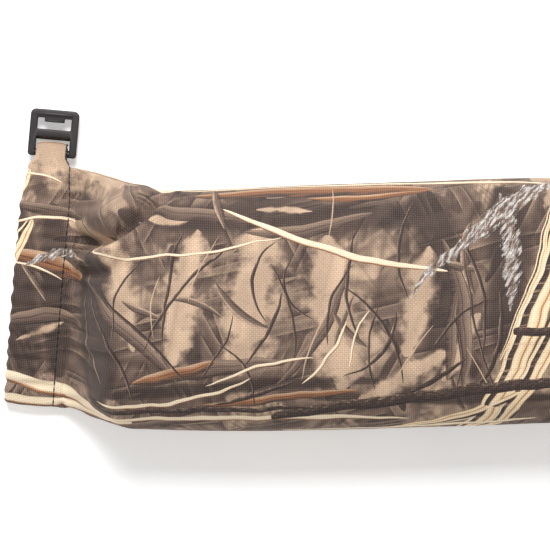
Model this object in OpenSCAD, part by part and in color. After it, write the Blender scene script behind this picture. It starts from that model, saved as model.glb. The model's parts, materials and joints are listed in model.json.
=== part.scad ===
// Training bumper: a camouflage cloth sleeve, sewn shut at one end and gathered by a flat elastic
// at the other, round a wadded foam core. A ladder lock hangs on the rim of the gathered mouth,
// and a webbing loop is sewn through the end panel. X runs along the body, the mouth is at -X,
// the body rests flat on z = 0, and the origin is the middle of the face that it rests on.

/* [Body] */
// Length of the sleeve from the end of the core to the closed end
body_l = 270; // [200:5:340]
// Width of the stuffed body
body_w = 97; // [80:1:118]
// Height of the stuffed body
body_h = 62; // [50:1:76]
// How far the round underside is pressed flat where it rests
rest_sag = 3; // [2:0.5:4]
// Squareness of the section, where 2 is an ellipse
body_power = 2.4; // [2:0.1:2.8]

/* [Cloth] */
// Thickness of the sleeve cloth
cloth_t = 0.8; // [0.5:0.1:1.1]
// Free room between pieces that only touch
fit_gap = 0.3; // [0.2:0.05:0.4]
// Diameter of the sewing thread
thread_d = 0.6; // [0.4:0.1:0.8]
// Length of one stitch and the hole after it
stitch_pitch = 3; // [2.5:0.5:4]

/* [Mouth] */
// Flat width of the gathered mouth, from fold to fold
mouth_w = 107; // [88:1:130]
// Height of the arch of the mouth's upper layer
arch_h = 8; // [6:0.5:12]
// Width of the turned hem that the elastic runs in
casing_w = 20.6; // [17:0.2:25]
// Length of the empty neck between the hem's stitching and the core
neck_l = 21; // [17:0.5:26]
// How far the mouth lies to the buckle's side of the body's middle
mouth_shift = 13.5; // [8:0.5:17]
// Angle of the mouth across the body, in degrees
mouth_turn = 5; // [0:1:8]
// Height of the mouth's lower layer above the floor
mouth_lift = 0.4; // [0.4:0.1:1]
// Thickness of the flat elastic
elastic_t = 1; // [0.8:0.1:1.4]

/* [Ladder lock] */
// Width of the strap that the ladder lock takes
strap_w = 12.7; // [10.5:0.1:15.3]
// Thickness of the moulded frame
frame_t = 3.2; // [2.6:0.1:3.8]
// Width of each side leg
leg_w = 3; // [2.5:0.1:3.6]
// Diameter of the round bar that the hem holds
bar_d = 3; // [2.5:0.1:3.6]
// Width of the middle bar that the strap folds over
grip_bar_w = 3; // [2.5:0.1:3.6]
// Clear height of the strap slot
strap_slot_h = 4.6; // [4:0.1:5.5]
// Width of the top bar
top_bar_w = 3.4; // [2.8:0.1:4]
// Width and depth of the catch that stands into the strap slot
catch_w = 8; // [6.7:0.1:9.6]
catch_h = 1.6; // [1.3:0.1:1.9]
// Radius of the frame's corners
corner_r = 2; // [1.6:0.1:2.4]

/* [Filling] */
// Thickness of the wadding round the foam
wadding_t = 5; // [4:0.5:6]
// Space behind the end panel for the seam and the loop's tails
end_room = 4; // [3.5:0.5:5]

/* [Closed end] */
// Diameter of the piping round the end panel
piping_d = 3.6; // [3:0.1:4.4]
// Width and thickness of the loop's webbing
loop_w = 13; // [10.8:0.1:15.6]
webbing_t = 1.4; // [1.2:0.1:1.7]
// Inside radius of the loop's eye
eye_r = 6; // [5:0.5:7.2]
// Length of the loop's two tails behind the panel
tail_l = 8; // [6.7:0.1:9.6]
// Length of the loop's stem outside the panel
stem_l = 3; // [2.5:0.5:3.6]
// Width of the felled seam along the underside's edge, as segments of the section
seam_segments = 2; // [1:1:3]

/* [Hidden] */
$fn = 32;

// How far sewn pieces press into each other
sewn_bite = 0.15;

// The section is walked in SIDES steps from the buckle's side over the top.
SIDES = 56;
TIP = 4;
RUN = 20;
NECK_RINGS = 6;

// Heights of the layers of the rim, measured outwards from the axis of the buckle's bar
bar_clear = 0.5;
ply_gap = 0.05;
rim_in = bar_d / 2 + bar_clear;
channel_in = rim_in + cloth_t;
channel_out = channel_in + elastic_t + 2 * ply_gap;
rim_out = channel_out + cloth_t;
fold_w = 0.6;
raw_edge = 1;

// The mouth: a flat lower layer, an arched upper one, and a round turn at each end
reach = mouth_w / 2 - rim_out;
arch_slope = atan(2 * arch_h / reach);
mouth_x = -(body_l / 2 + neck_l + casing_w / 2);
mouth_z = rim_out + mouth_lift;
bar_pos = [mouth_x + reach * sin(mouth_turn), mouth_shift + reach * cos(mouth_turn), mouth_z];

// The ladder lock, in its own frame, with the bar's axis at y = 0
slot_w = strap_w + 0.9;
lock_w = slot_w + 2 * leg_w;
rim_room = 1.7;
grip_bar_y = rim_out + rim_room;
strap_slot_y = grip_bar_y + grip_bar_w;
top_bar_y = strap_slot_y + strap_slot_h;
lock_top = top_bar_y + top_bar_w;
tooth_d = 0.8;

// The hem narrows to pass the slot, and is at its full width pinch_l below the bar.
tab_w = slot_w - 1;
pinch_start = 1.5;
pinch_l = 12;

// The neck starts beside the slot's leg, and stays clear of the leg's foot as it swings.
foot_room = norm([leg_w / 2, frame_t / 2]) + 0.4;
shoulder_w = 0.2;

// The section of the body
mid_z = (body_h - rest_sag) / 2;
half_h = (body_h + rest_sag) / 2;

// The closed end
far_x = body_l / 2;
piping_r = piping_d / 2;
piping_x = far_x + piping_r - sewn_bite;
panel_in = piping_x - cloth_t / 2;
panel_out = piping_x + cloth_t / 2;
stem_half = webbing_t + ply_gap;
loop_y = body_w / 2 - piping_d - tail_l - webbing_t - 2;
eye_apex = eye_r * 4 / 3;
eye_x = panel_out + stem_l + eye_apex;
slit_gap = 0.15;

// The filling
wadding_d = cloth_t + fit_gap;
foam_d = wadding_d + wadding_t + ply_gap;
core_near = -body_l / 2 + fit_gap;
core_far = far_x - end_room;

// The felled seam lies low on the side away from the buckle.
seam_first = 32;
seam_last = seam_first + seam_segments;

function smooth(t) = let (c = min(max(t, 0), 1)) c * c * (3 - 2 * c);
function mix(a, b, t) = a + (b - a) * t;
function power(c, e) = sign(c) * pow(abs(c), e);

// A point of the body's section, step i, sunk by depth under the cloth's outer face
function section_yz(i, depth) =
    let (a = 360 * i / SIDES, e = 2 / body_power)
    [(body_w / 2 - depth) * power(cos(a), e),
     max(mid_z + (half_h - depth) * power(sin(a), e), depth)];
function section_at(i, depth, x) = let (p = section_yz(i, depth)) [x, p[0], p[1]];

// Where step i lies on the rim: v along the mouth and z over the bar's axis, at height r
function rim_vz(i, r) =
    let (j = i > SIDES / 2 ? i - SIDES : i)
    abs(j) <= TIP ?
        let (a = -90 + (j + TIP) / (2 * TIP) * (180 - arch_slope)) [reach + r * cos(a), r * sin(a)] :
    abs(j) >= TIP + RUN ?
        let (k = (j > 0 ? j : j + SIDES) - TIP - RUN,
             a = 90 + arch_slope + k / (2 * TIP) * (180 - arch_slope))
        [-reach + r * cos(a), r * sin(a)] :
    j < 0 ? [reach * (1 + 2 * (TIP + j) / RUN), -r] :
        let (v = reach * (1 - 2 * (j - TIP) / RUN), slope = atan(2 * arch_h * v / (reach * reach)))
        [v + r * sin(slope), arch_h * (1 - v * v / (reach * reach)) + r * cos(slope)];

// The share of its full width that the hem has at step i
function hem_share(i) =
    let (below = reach - min(rim_vz(i, 0)[0], reach),
         t = smooth((below - pinch_start) / (pinch_l - pinch_start)))
    mix(tab_w / casing_w, 1, t);

// A point of the mouth: s across the hem from its middle, v along the mouth, z over the bar
function mouth_at(s, v, z) =
    [mouth_x + s * cos(mouth_turn) + v * sin(mouth_turn),
     mouth_shift - s * sin(mouth_turn) + v * cos(mouth_turn),
     mouth_z + z];

// A point of the rim: u across the hem from its middle, step i, height r
function rim_at(u, i, r) = let (p = rim_vz(i, r)) mouth_at(u * hem_share(i), p[0], p[1]);

// A point where the neck starts, sunk by depth under the cloth's outer face
function shoulder_at(i, depth) =
    let (p = rim_vz(i, rim_out - depth))
    mouth_at(casing_w / 2 * hem_share(i) + shoulder_w - depth,
             min(p[0], reach - foot_room - depth), p[1]);

// A point of the neck, a share t of the way from the hem to the body. The inner face of the
// upper side is moved towards the core, so that the cloth keeps its thickness on the slope.
function neck_at(t, i, depth) =
    let (hem = shoulder_at(i, depth),
         body = section_at(i, depth, -body_l / 2),
         lean = depth * max(sin(360 * i / SIDES), 0) * 4 * t * (1 - t))
    [mix(hem[0], body[0], t) + lean, mix(hem[1], body[1], smooth(t)), mix(hem[2], body[2], smooth(t))];

// A closed band of rings, each of SIDES points, joined to the next and the last to the first
module ring_band(rings) {
    count = len(rings);
    polyhedron(
        points = [for (ring = rings) for (p = ring) p],
        faces = [for (k = [0 : count - 1]) for (i = [0 : SIDES - 1])
                 let (m = (k + 1) % count, j = (i + 1) % SIDES,
                      a = k * SIDES + i, b = k * SIDES + j, c = m * SIDES + j, d = m * SIDES + i)
                 for (face = [[a, b, c], [a, c, d]]) face],
        convexity = 10);
}

// The body's section, sunk by depth, from x0 to x1
module section_slab(x0, x1, depth) {
    translate([x0, 0, 0])
        rotate([90, 0, 90])
            linear_extrude(x1 - x0)
                polygon([for (i = [0 : SIDES - 1]) section_yz(i, depth)]);
}

// A round thread from p to q
module thread(p, q) {
    d = q - p;
    flat = norm([d[0], d[1]]);
    translate(p)
        rotate([0, atan2(flat, d[2]), atan2(d[1], d[0])])
            cylinder(h = norm(d), d = thread_d, $fn = 16);
}

// Stitches along the closed line of points, each between two needle holes
module stitch_row(points) {
    count = len(points);
    for (i = [0 : count - 1]) {
        p = points[i];
        q = points[(i + 1) % count];
        parts = max(1, round(norm(q - p) / stitch_pitch));
        for (k = [0 : parts - 1])
            thread(mix(p, q, (k + 0.15) / parts), mix(p, q, (k + 0.85) / parts));
    }
}

// The cloth tube: the body, the neck, the hem that is turned in at the mouth, and the narrow
// edge that is turned in at the closed end, behind the piping
module cloth_tube() {
    hem = casing_w / 2;
    steps = [0 : SIDES - 1];
    outer = [NECK_RINGS - 1 : -1 : 1];
    inner = [1 : NECK_RINGS - 1];
    ring_band(concat(
        [[for (i = steps) section_at(i, 0, far_x)],
         [for (i = steps) section_at(i, 0, -body_l / 2)]],
        [for (k = outer) [for (i = steps) neck_at(k / NECK_RINGS, i, 0)]],
        [[for (i = steps) shoulder_at(i, 0)],
         [for (i = steps) rim_at(hem, i, rim_out)],
         [for (i = steps) rim_at(-hem + fold_w, i, rim_out)],
         [for (i = steps) rim_at(-hem, i, (rim_out + rim_in) / 2)],
         [for (i = steps) rim_at(-hem + fold_w, i, rim_in)],
         [for (i = steps) rim_at(hem - raw_edge, i, rim_in)],
         [for (i = steps) rim_at(hem - raw_edge, i, channel_in)],
         [for (i = steps) rim_at(-hem + fold_w + cloth_t, i, channel_in)],
         [for (i = steps) rim_at(-hem + fold_w + cloth_t, i, channel_out)],
         [for (i = steps) rim_at(hem - cloth_t, i, channel_out)],
         [for (i = steps) shoulder_at(i, cloth_t)]],
        [for (k = inner) [for (i = steps) neck_at(k / NECK_RINGS, i, cloth_t)]],
        [[for (i = steps) section_at(i, cloth_t, -body_l / 2)],
         [for (i = steps) section_at(i, cloth_t, far_x - cloth_t)],
         [for (i = steps) section_at(i, piping_d, far_x - cloth_t)],
         [for (i = steps) section_at(i, piping_d, far_x)]]));
}

// The sleeve, with the slit beside the hem's tab that the buckle's bar comes out of
module sleeve() {
    color("tan")
        difference() {
            cloth_tube();
            translate(bar_pos)
                rotate([0, 90, -mouth_turn])
                    cylinder(h = lock_w / 2, r = rim_in - ply_gap);
        }
}

// The flat elastic that runs round the mouth inside the hem
module elastic_band() {
    near = -casing_w / 2 + fold_w + cloth_t + fit_gap;
    far = casing_w / 2 - raw_edge - cloth_t - thread_d;
    low = channel_in + ply_gap;
    high = channel_out - ply_gap;
    color("white")
        ring_band([[for (i = [0 : SIDES - 1]) rim_at(far, i, high)],
                   [for (i = [0 : SIDES - 1]) rim_at(near, i, high)],
                   [for (i = [0 : SIDES - 1]) rim_at(near, i, low)],
                   [for (i = [0 : SIDES - 1]) rim_at(far, i, low)]]);
}

// The row that closes the hem
module casing_stitches() {
    color("black")
        stitch_row([for (i = [0 : SIDES - 1]) rim_at(casing_w / 2 - raw_edge, i, rim_out)]);
}

// The flat outline of the ladder lock's frame: a plate with round corners and two slots
module lock_outline() {
    half = lock_w / 2;
    difference() {
        union() {
            for (side = [-1, 1]) {
                translate([side * (half - leg_w / 2), 0])
                    circle(d = leg_w);
                translate([side * (half - corner_r), lock_top - corner_r])
                    circle(r = corner_r);
                translate([side * (half - leg_w / 2) - leg_w / 2, 0])
                    square([leg_w, lock_top - corner_r]);
            }
            translate([-half + corner_r, grip_bar_y])
                square([lock_w - 2 * corner_r, lock_top - grip_bar_y]);
        }
        difference() {
            translate([-slot_w / 2, strap_slot_y])
                square([slot_w, strap_slot_h]);
            translate([-catch_w / 2, top_bar_y - catch_h])
                square([catch_w, catch_h + 1]);
        }
    }
}

// The moulded buckle: its round bar lies inside the rim, and a strap would fold over the middle bar
module ladder_lock() {
    color("black")
        translate(bar_pos)
            rotate([0, 0, -mouth_turn]) {
                translate([0, 0, -frame_t / 2])
                    linear_extrude(frame_t)
                        lock_outline();
                translate([-lock_w / 2 + leg_w / 2, 0, 0])
                    rotate([0, 90, 0])
                        cylinder(h = lock_w - leg_w, d = bar_d);
                for (y = [0.25, 0.75])
                    translate([-slot_w / 2, grip_bar_y + grip_bar_w * y, -frame_t / 2])
                        rotate([0, 90, 0])
                            cylinder(h = slot_w, d = tooth_d, $fn = 16);
                translate([-lock_w / 2 + corner_r, lock_top - top_bar_w / 2, frame_t / 2])
                    rotate([0, 90, 0])
                        cylinder(h = lock_w - 2 * corner_r, d = tooth_d, $fn = 16);
            }
}

// The block of closed-cell foam that floats the bumper
module foam_core() {
    color("lightsteelblue")
        section_slab(core_near, core_far, foam_d);
}

// The soft wadding sheet rolled round the foam
module wadding_wrap() {
    color("whitesmoke")
        difference() {
            section_slab(core_near, core_far, wadding_d);
            section_slab(core_near - 1, core_far + 1, wadding_d + wadding_t);
        }
}

// The panel that shuts the far end, with a slit for the loop's stem
module end_panel() {
    color("rosybrown")
        difference() {
            section_slab(panel_in, panel_out, piping_d - sewn_bite);
            translate([panel_in - 1, loop_y - stem_half - slit_gap, mid_z - loop_w / 2 - slit_gap])
                cube([cloth_t + 2, 2 * (stem_half + slit_gap), loop_w + 2 * slit_gap]);
        }
}

// The covered cord that is sewn between the sleeve and the end panel
module end_piping() {
    sides = 8;
    color("saddlebrown")
        ring_band([for (k = [0 : sides - 1])
                   let (a = 360 * k / sides)
                   [for (i = [0 : SIDES - 1])
                    section_at(i, piping_r * (1 + cos(a)), piping_x + piping_r * sin(a))]]);
}

// The row beside the piping
module end_stitches() {
    row = [for (i = [0 : SIDES - 1]) section_at(i, 0, far_x - stitch_pitch)];
    color("black")
        stitch_row([for (p = row) [p[0], p[1], max(p[2], thread_d / 2)]]);
}

// The folded strip of the seam that closes the sleeve into a tube
module long_seam() {
    steps = [seam_first : seam_last];
    color("peru")
        translate([-body_l / 2, 0, 0])
            rotate([90, 0, 90])
                linear_extrude(body_l - 2 * stitch_pitch)
                    polygon(concat([for (i = steps) section_yz(i, -cloth_t)],
                                   [for (i = steps) section_yz(seam_first + seam_last - i, sewn_bite)]));
}

// One row of stitches down the middle of the strip
module long_seam_stitches() {
    run = body_l - 4 * stitch_pitch;
    count = floor(run / stitch_pitch);
    a = section_yz(seam_first, -cloth_t);
    b = section_yz(seam_first + 1, -cloth_t);
    color("black")
        for (k = [0 : count - 1], t = [0.25, 0.75])
            let (p = mix(a, b, t), x = -body_l / 2 + stitch_pitch * (k + 1))
                translate([x, p[0], p[1]])
                    rotate([0, 90, 0])
                        cylinder(h = stitch_pitch * 0.7, d = thread_d, $fn = 16);
}

// The outline of the folded webbing, seen along its width: an eye, a stem and two spread tails
module loop_outline() {
    lean = asin(eye_r / eye_apex);
    outer = eye_r + webbing_t;
    neck = outer / sin(lean) - stem_half / tan(lean);
    difference() {
        union() {
            circle(r = outer);
            polygon([[-outer * sin(lean), outer * cos(lean)], [-neck, stem_half],
                     [-neck, -stem_half], [-outer * sin(lean), -outer * cos(lean)]]);
            translate([panel_in - ply_gap - eye_x, -stem_half])
                square([eye_x - panel_in + ply_gap - eye_apex, 2 * stem_half]);
            translate([panel_in - ply_gap - webbing_t - eye_x, -stem_half - tail_l])
                square([webbing_t, 2 * (stem_half + tail_l)]);
        }
        circle(r = eye_r);
        polygon([[-eye_r * sin(lean), eye_r * cos(lean)], [-eye_apex, 0],
                 [-eye_r * sin(lean), -eye_r * cos(lean)]]);
    }
}

// The webbing loop that a line or a clip goes through
module end_loop() {
    color("darkolivegreen")
        translate([eye_x, loop_y, mid_z - loop_w / 2])
            linear_extrude(loop_w)
                loop_outline();
}

// Four short rows that hold the loop's tails to the end panel
module loop_stitches() {
    rows = 2;
    count = floor(loop_w / stitch_pitch);
    color("black")
        for (side = [-1, 1], row = [1 : rows], k = [0 : count - 1])
            translate([panel_out, loop_y + side * (stem_half + tail_l * (row - 0.5) / rows),
                       mid_z + stitch_pitch * (k - count / 2 + 0.15)])
                cylinder(h = stitch_pitch * 0.7, d = thread_d, $fn = 16);
}

sleeve();
elastic_band();
casing_stitches();
ladder_lock();
foam_core();
wadding_wrap();
end_panel();
end_piping();
end_stitches();
long_seam();
long_seam_stitches();
end_loop();
loop_stitches();
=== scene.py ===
"""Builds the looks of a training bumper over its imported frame.

The bumper is a padded tube in marsh camouflage cloth. One end is gathered by an elastic in a hem, with
a ladder lock hanging on its rim, and the other end is shut by a piped panel with a webbing loop.
Lengths are in metres and named values that end in _mm are in millimetres.
"""

import json
import math
import random

import bmesh
import bpy
import numpy as np
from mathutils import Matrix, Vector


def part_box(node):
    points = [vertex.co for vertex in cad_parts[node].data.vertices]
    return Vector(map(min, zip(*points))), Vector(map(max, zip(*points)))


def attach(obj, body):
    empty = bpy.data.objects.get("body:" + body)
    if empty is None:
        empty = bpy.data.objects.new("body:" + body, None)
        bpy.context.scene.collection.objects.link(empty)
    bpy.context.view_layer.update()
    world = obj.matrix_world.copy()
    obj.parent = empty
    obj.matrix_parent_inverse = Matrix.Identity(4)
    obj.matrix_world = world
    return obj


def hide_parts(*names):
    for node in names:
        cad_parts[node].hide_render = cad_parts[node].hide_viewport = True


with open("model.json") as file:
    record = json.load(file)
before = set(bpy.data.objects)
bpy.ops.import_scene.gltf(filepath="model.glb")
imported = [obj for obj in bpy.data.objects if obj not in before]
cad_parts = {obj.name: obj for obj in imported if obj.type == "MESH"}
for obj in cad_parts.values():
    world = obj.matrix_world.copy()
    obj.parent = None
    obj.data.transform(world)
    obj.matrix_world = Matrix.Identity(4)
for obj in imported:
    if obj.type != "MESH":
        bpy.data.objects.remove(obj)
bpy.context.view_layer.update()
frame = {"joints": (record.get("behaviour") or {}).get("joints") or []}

bl_info = {
    "name": "Training Bumper",
    "version": (1, 0, 0),
    "blender": (4, 5, 0),
    "location": "View3D > Sidebar > Bumper",
    "description": "Builds a camouflage training bumper piece by piece",
    "category": "Object",
}

MM = 0.001
TINY = 1e-12


def low(node):
    """The lowest corner of a CAD node."""
    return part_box(node)[0]


def high(node):
    """The highest corner of a CAD node."""
    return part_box(node)[1]


# ----------------------------------------------------------------------------------------------
# Places that the frame gives
# ----------------------------------------------------------------------------------------------

SWING = frame["joints"][0]
BAR = np.array(SWING["pos_m"])
MOUTH_TURN = math.atan2(-SWING["axis"][1], SWING["axis"][0])
BODY_HALF_W = high("end_piping")[1]
BODY_H = high("end_piping")[2]
CORE_NEAR = low("foam_core")[0]
CORE_FAR = high("foam_core")[0]
FAR_X = high("sleeve")[0]
PIPING_D = high("end_piping")[0] - low("end_piping")[0]
PANEL_X = (low("end_panel")[0] + high("end_panel")[0]) / 2

SAG = 3 * MM
BODY_POWER = 2.4
MID_Z = (BODY_H - SAG) / 2
HALF_H = (BODY_H + SAG) / 2


# ----------------------------------------------------------------------------------------------
# Settings
# ----------------------------------------------------------------------------------------------


def length(name, description, default):
    """A length that a user may change."""
    return bpy.props.FloatProperty(
        name=name, description=description, default=default, min=0.0, unit="LENGTH", precision=5)


def colour(name, description, default):
    """A colour that a user may change."""
    return bpy.props.FloatVectorProperty(
        name=name, description=description, default=default, size=3, min=0.0, max=1.0, subtype="COLOR")


def share(name, description, default):
    """A plain number from 0 to 1."""
    return bpy.props.FloatProperty(name=name, description=description, default=default, min=0.0, max=1.0)


class BUMPER_PG_cloth(bpy.types.PropertyGroup):
    """The sleeve's cloth and its print."""

    thickness: length("Thickness", "Thickness of the sleeve cloth", 0.6 * MM)
    weave: length("Weave pitch", "Distance from thread to thread", 0.8 * MM)
    pucker: length("Pucker depth", "Height of the hem's gathers", 0.80 * MM)
    crease: length("Crease depth", "Depth of the fold beside the buckle's flap", 6.5 * MM)
    slack: share("Slack", "How much the cloth grows in the simulation", 0.012)
    ground: colour("Ground", "Colour of the dry-grass ground", (0.64, 0.455, 0.315))
    straw: colour("Straw", "Colour of the light reeds", (0.93, 0.76, 0.55))
    rust: colour("Rust", "Colour of the rust shading", (0.36, 0.15, 0.065))
    shade: colour("Shade", "Colour of the deep shadows in the print", (0.038, 0.027, 0.026))
    twig: colour("Twig", "Colour of the twigs and dead leaves", (0.088, 0.056, 0.046))
    mist: colour("Mist", "Colour of the blurred grey-brown stalks", (0.200, 0.135, 0.105))
    fluff: colour("Fluff", "Colour of the seed heads", (0.52, 0.49, 0.46))


class BUMPER_PG_trim(bpy.types.PropertyGroup):
    """The buckle, the thread and the webbing."""

    plastic: colour("Plastic", "Colour of the moulded buckle", (0.020, 0.016, 0.017))
    thread: colour("Thread", "Colour of the sewing thread", (0.008, 0.008, 0.009))
    thread_d: length("Thread", "Diameter of the sewing thread", 0.56 * MM)
    stitch: length("Stitch", "Length from needle hole to needle hole", 2.9 * MM)
    webbing: colour("Webbing", "Colour of the loop's webbing", (0.020, 0.019, 0.018))
    elastic: colour("Elastic", "Colour of the flat elastic", (0.70, 0.68, 0.62))
    foam: colour("Foam", "Colour of the foam core", (0.07, 0.08, 0.10))
    wadding: colour("Wadding", "Colour of the wadding", (0.74, 0.72, 0.67))
    piping: colour("Piping", "Colour of the piping's cover", (0.075, 0.050, 0.034))


class BUMPER_PG_stage(bpy.types.PropertyGroup):
    """The floor, the light and the camera."""

    view_w: length("View width", "Width of the floor that the camera sees", 0.220)
    view_x: bpy.props.FloatProperty(name="View X", description="Middle of the view along the body",
                                    default=-0.0722, unit="LENGTH", precision=4)
    view_y: bpy.props.FloatProperty(name="View Y", description="Middle of the view across the body",
                                    default=0.0130, unit="LENGTH", precision=4)
    camera_h: length("Camera height", "Height of the camera over the floor", 1.35)
    floor: colour("Floor", "Colour of the floor", (0.90, 0.90, 0.90))
    floor_glow: share("Floor glow", "How much the backlit floor shines by itself", 0.30)


# ----------------------------------------------------------------------------------------------
# Shape helpers
# ----------------------------------------------------------------------------------------------


def smooth(t):
    """0 to 1 with level ends."""
    t = np.clip(t, 0.0, 1.0)
    return t * t * (3 - 2 * t)


def bump(x, middle, width):
    """A bell of height 1."""
    return np.exp(-((x - middle) / width) ** 2)


def section(turn, inset=0.0):
    """Y and Z of the body's section at these angles, sunk by inset under its outside."""
    e = 2 / BODY_POWER
    c, s = np.cos(turn), np.sin(turn)
    y = (BODY_HALF_W - inset) * np.sign(c) * np.abs(c) ** e
    z = MID_Z + (HALF_H - inset) * np.sign(s) * np.abs(s) ** e
    return y, np.maximum(z, inset)


def spaced(curve, count_up, count_down, halfway):
    """Indices (as floats) into a dense closed curve: even steps over its first and second part."""
    step = np.linalg.norm(np.diff(curve, axis=0), axis=1)
    run = np.concatenate([[0.0], np.cumsum(step)])
    first = np.linspace(0, run[halfway], count_up, endpoint=False)
    second = np.linspace(run[halfway], run[-1], count_down, endpoint=False)
    return np.interp(np.concatenate([first, second]), run, np.arange(len(run))), run


DENSE = 4000


def ring_turns(columns):
    """Angles of the body's section at evenly spaced columns, and each column's place round it."""
    turn = np.linspace(0, 2 * math.pi, DENSE + 1)
    y, z = section(turn)
    at, run = spaced(np.stack([y, z], 1), columns // 2, columns - columns // 2, DENSE // 2)
    place = np.interp(at, np.arange(DENSE + 1), run)
    top = run[DENSE // 4]
    around = top - place
    around = np.where(around < -run[-1] / 2, around + run[-1], around)
    return np.interp(at, np.arange(DENSE + 1), turn), around, run[-1]


def settle(points):
    """The slow bend and swell of the stuffed body, applied to anything that belongs to it."""
    p = np.array(points, dtype=float)
    x = p[..., 0]
    inside = smooth((FAR_X - x) / (60 * MM)) * smooth((x - CORE_NEAR + 30 * MM) / (60 * MM))
    p[..., 1] += inside * (3.0 * MM * bump(x, 45 * MM, 70 * MM) - 1.0 * MM * bump(x, -105 * MM, 40 * MM))
    p[..., 1] *= 1 + inside * (0.012 * bump(x, 40 * MM, 80 * MM) - 0.020 * bump(x, -118 * MM, 35 * MM))
    return p


# ----------------------------------------------------------------------------------------------
# The mouth's rim
# ----------------------------------------------------------------------------------------------

CASING_W = 20.6 * MM
ARCH_H = 8 * MM
RIM_IN = 2.0 * MM
RIM_OUT = 4.7 * MM
TAB_W = 12.6 * MM
TAB_SHARE = 0.86
REACH = 48.8 * MM
MOUTH_X = BAR[0] - math.sin(MOUTH_TURN) * REACH
MOUTH_Y = BAR[1] - math.cos(MOUTH_TURN) * REACH
LEG_STEPS = 1600
FAR_STEPS = 400
NEAR_STEPS = 200


def rim_line(columns):
    """Along-mouth place, height and outward direction of the rim's middle line at each column."""
    slope = math.atan(2 * ARCH_H / REACH)
    tip = np.linspace(0, math.pi / 2 - slope, NEAR_STEPS, endpoint=False)
    v = np.linspace(REACH, -REACH, LEG_STEPS)
    lean = np.arctan(2 * ARCH_H * v / REACH ** 2)
    far = np.linspace(math.pi / 2 + slope, 3 * math.pi / 2, FAR_STEPS)
    low_v = np.linspace(-REACH, REACH, LEG_STEPS)
    near = np.linspace(-math.pi / 2, 0, NEAR_STEPS)
    pieces = [
        (np.full(NEAR_STEPS, REACH), np.zeros(NEAR_STEPS), np.cos(tip), np.sin(tip)),
        (v, ARCH_H * (1 - (v / REACH) ** 2), np.sin(lean), np.cos(lean)),
        (np.full(FAR_STEPS, -REACH), np.zeros(FAR_STEPS), np.cos(far), np.sin(far)),
        (low_v, np.zeros(LEG_STEPS), np.zeros(LEG_STEPS), -np.ones(LEG_STEPS)),
        (np.full(NEAR_STEPS, REACH), np.zeros(NEAR_STEPS), np.cos(near), np.sin(near)),
    ]
    v, z, nv, nz = (np.concatenate(parts) for parts in zip(*pieces))
    outer = np.stack([v + nv * RIM_OUT, z + nz * RIM_OUT], 1)
    halfway = NEAR_STEPS + LEG_STEPS + 250
    at, run = spaced(outer, columns // 2, columns - columns // 2, halfway)
    index = np.arange(len(v))
    line = [np.interp(at, index, part) for part in (v, z, nv, nz)]
    around = np.interp(at, index, run)
    return (*line, around, run[-1])


def hem_pleats(v, run, whole):
    """Large and small gathers round the hem, -1 to 1, with none at the tab that holds the buckle."""
    tight = smooth((REACH - 7 * MM - v) / (9 * MM))
    wave = 2 * math.pi * run / whole
    large = (np.sin(wave * 41 + 1.4 * np.sin(wave * 5)) * 0.6 + np.sin(wave * 23 + 2.0) * 0.4) * tight
    return large, np.sin(wave * 83 + np.sin(wave * 9)) * tight


def mouth_points(s, v, z):
    """Points of the mouth: s across the hem from its middle, v along the mouth, z over the bar."""
    c, d = math.cos(MOUTH_TURN), math.sin(MOUTH_TURN)
    x = MOUTH_X + s * c + v * d
    y = MOUTH_Y - s * d + v * c
    return np.stack(np.broadcast_arrays(x, y, BAR[2] + z), -1)


def hem_share(v):
    """The share of its full width that the hem has at v: it is pinched where it passes the slot."""
    below = REACH - np.minimum(v, REACH)
    tab = TAB_W / CASING_W
    beside_legs = smooth((below - 2.4 * MM) / (4.5 * MM))
    lower_down = smooth((below - 8 * MM) / (14 * MM))
    return tab + (TAB_SHARE - tab) * beside_legs + (1 - TAB_SHARE) * lower_down


# ----------------------------------------------------------------------------------------------
# Mesh helpers
# ----------------------------------------------------------------------------------------------


def new_object(name, verts, faces, uv=None, smooth_faces=True):
    """A mesh object from points and faces, with one UV pair per vertex if given."""
    mesh = bpy.data.meshes.new(name)
    mesh.from_pydata([tuple(map(float, p)) for p in verts], [], [tuple(map(int, f)) for f in faces])
    mesh.validate()
    if smooth_faces:
        mesh.shade_smooth()
    if uv is not None:
        layer = mesh.uv_layers.new(name="cloth")
        corner = np.empty(len(mesh.loops), dtype=np.int32)
        mesh.loops.foreach_get("vertex_index", corner)
        layer.data.foreach_set("uv", np.asarray(uv, dtype=np.float32)[corner].ravel())
    obj = bpy.data.objects.new(name, mesh)
    bpy.context.scene.collection.objects.link(obj)
    return obj


def grid_faces(rows, columns, closed=True):
    """Faces of a grid of rows, with the last column joined to the first if closed."""
    r = np.arange(rows - 1)[:, None]
    c = np.arange(columns if closed else columns - 1)[None, :]
    d = (c + 1) % columns
    quads = np.stack(np.broadcast_arrays(r * columns + c, (r + 1) * columns + c,
                                         (r + 1) * columns + d, r * columns + d), -1)
    return quads.reshape(-1, 4)


def seam_safe_uv(obj, uv_rows, period):
    """Writes the cloth's UVs face by face, so that the face that closes the tube doesn't wrap."""
    mesh = obj.data
    layer = mesh.uv_layers.get("cloth") or mesh.uv_layers.new(name="cloth")
    flat = uv_rows.reshape(-1, 2)
    corner = np.empty(len(mesh.loops), dtype=np.int32)
    mesh.loops.foreach_get("vertex_index", corner)
    uv = flat[corner % len(flat)].reshape(-1, 4, 2)
    middle = uv[:, :1, 1]
    uv[..., 1] += period * np.round((middle - uv[..., 1]) / period)
    layer.data.foreach_set("uv", uv.astype(np.float32).ravel())


def thicken(obj, thickness, offset):
    """Gives a sheet its wall: offset -1 is inwards, 0 to both sides."""
    wall = obj.modifiers.new("Wall", "SOLIDIFY")
    wall.thickness = thickness
    wall.offset = offset
    apply_modifiers(obj)


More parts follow.
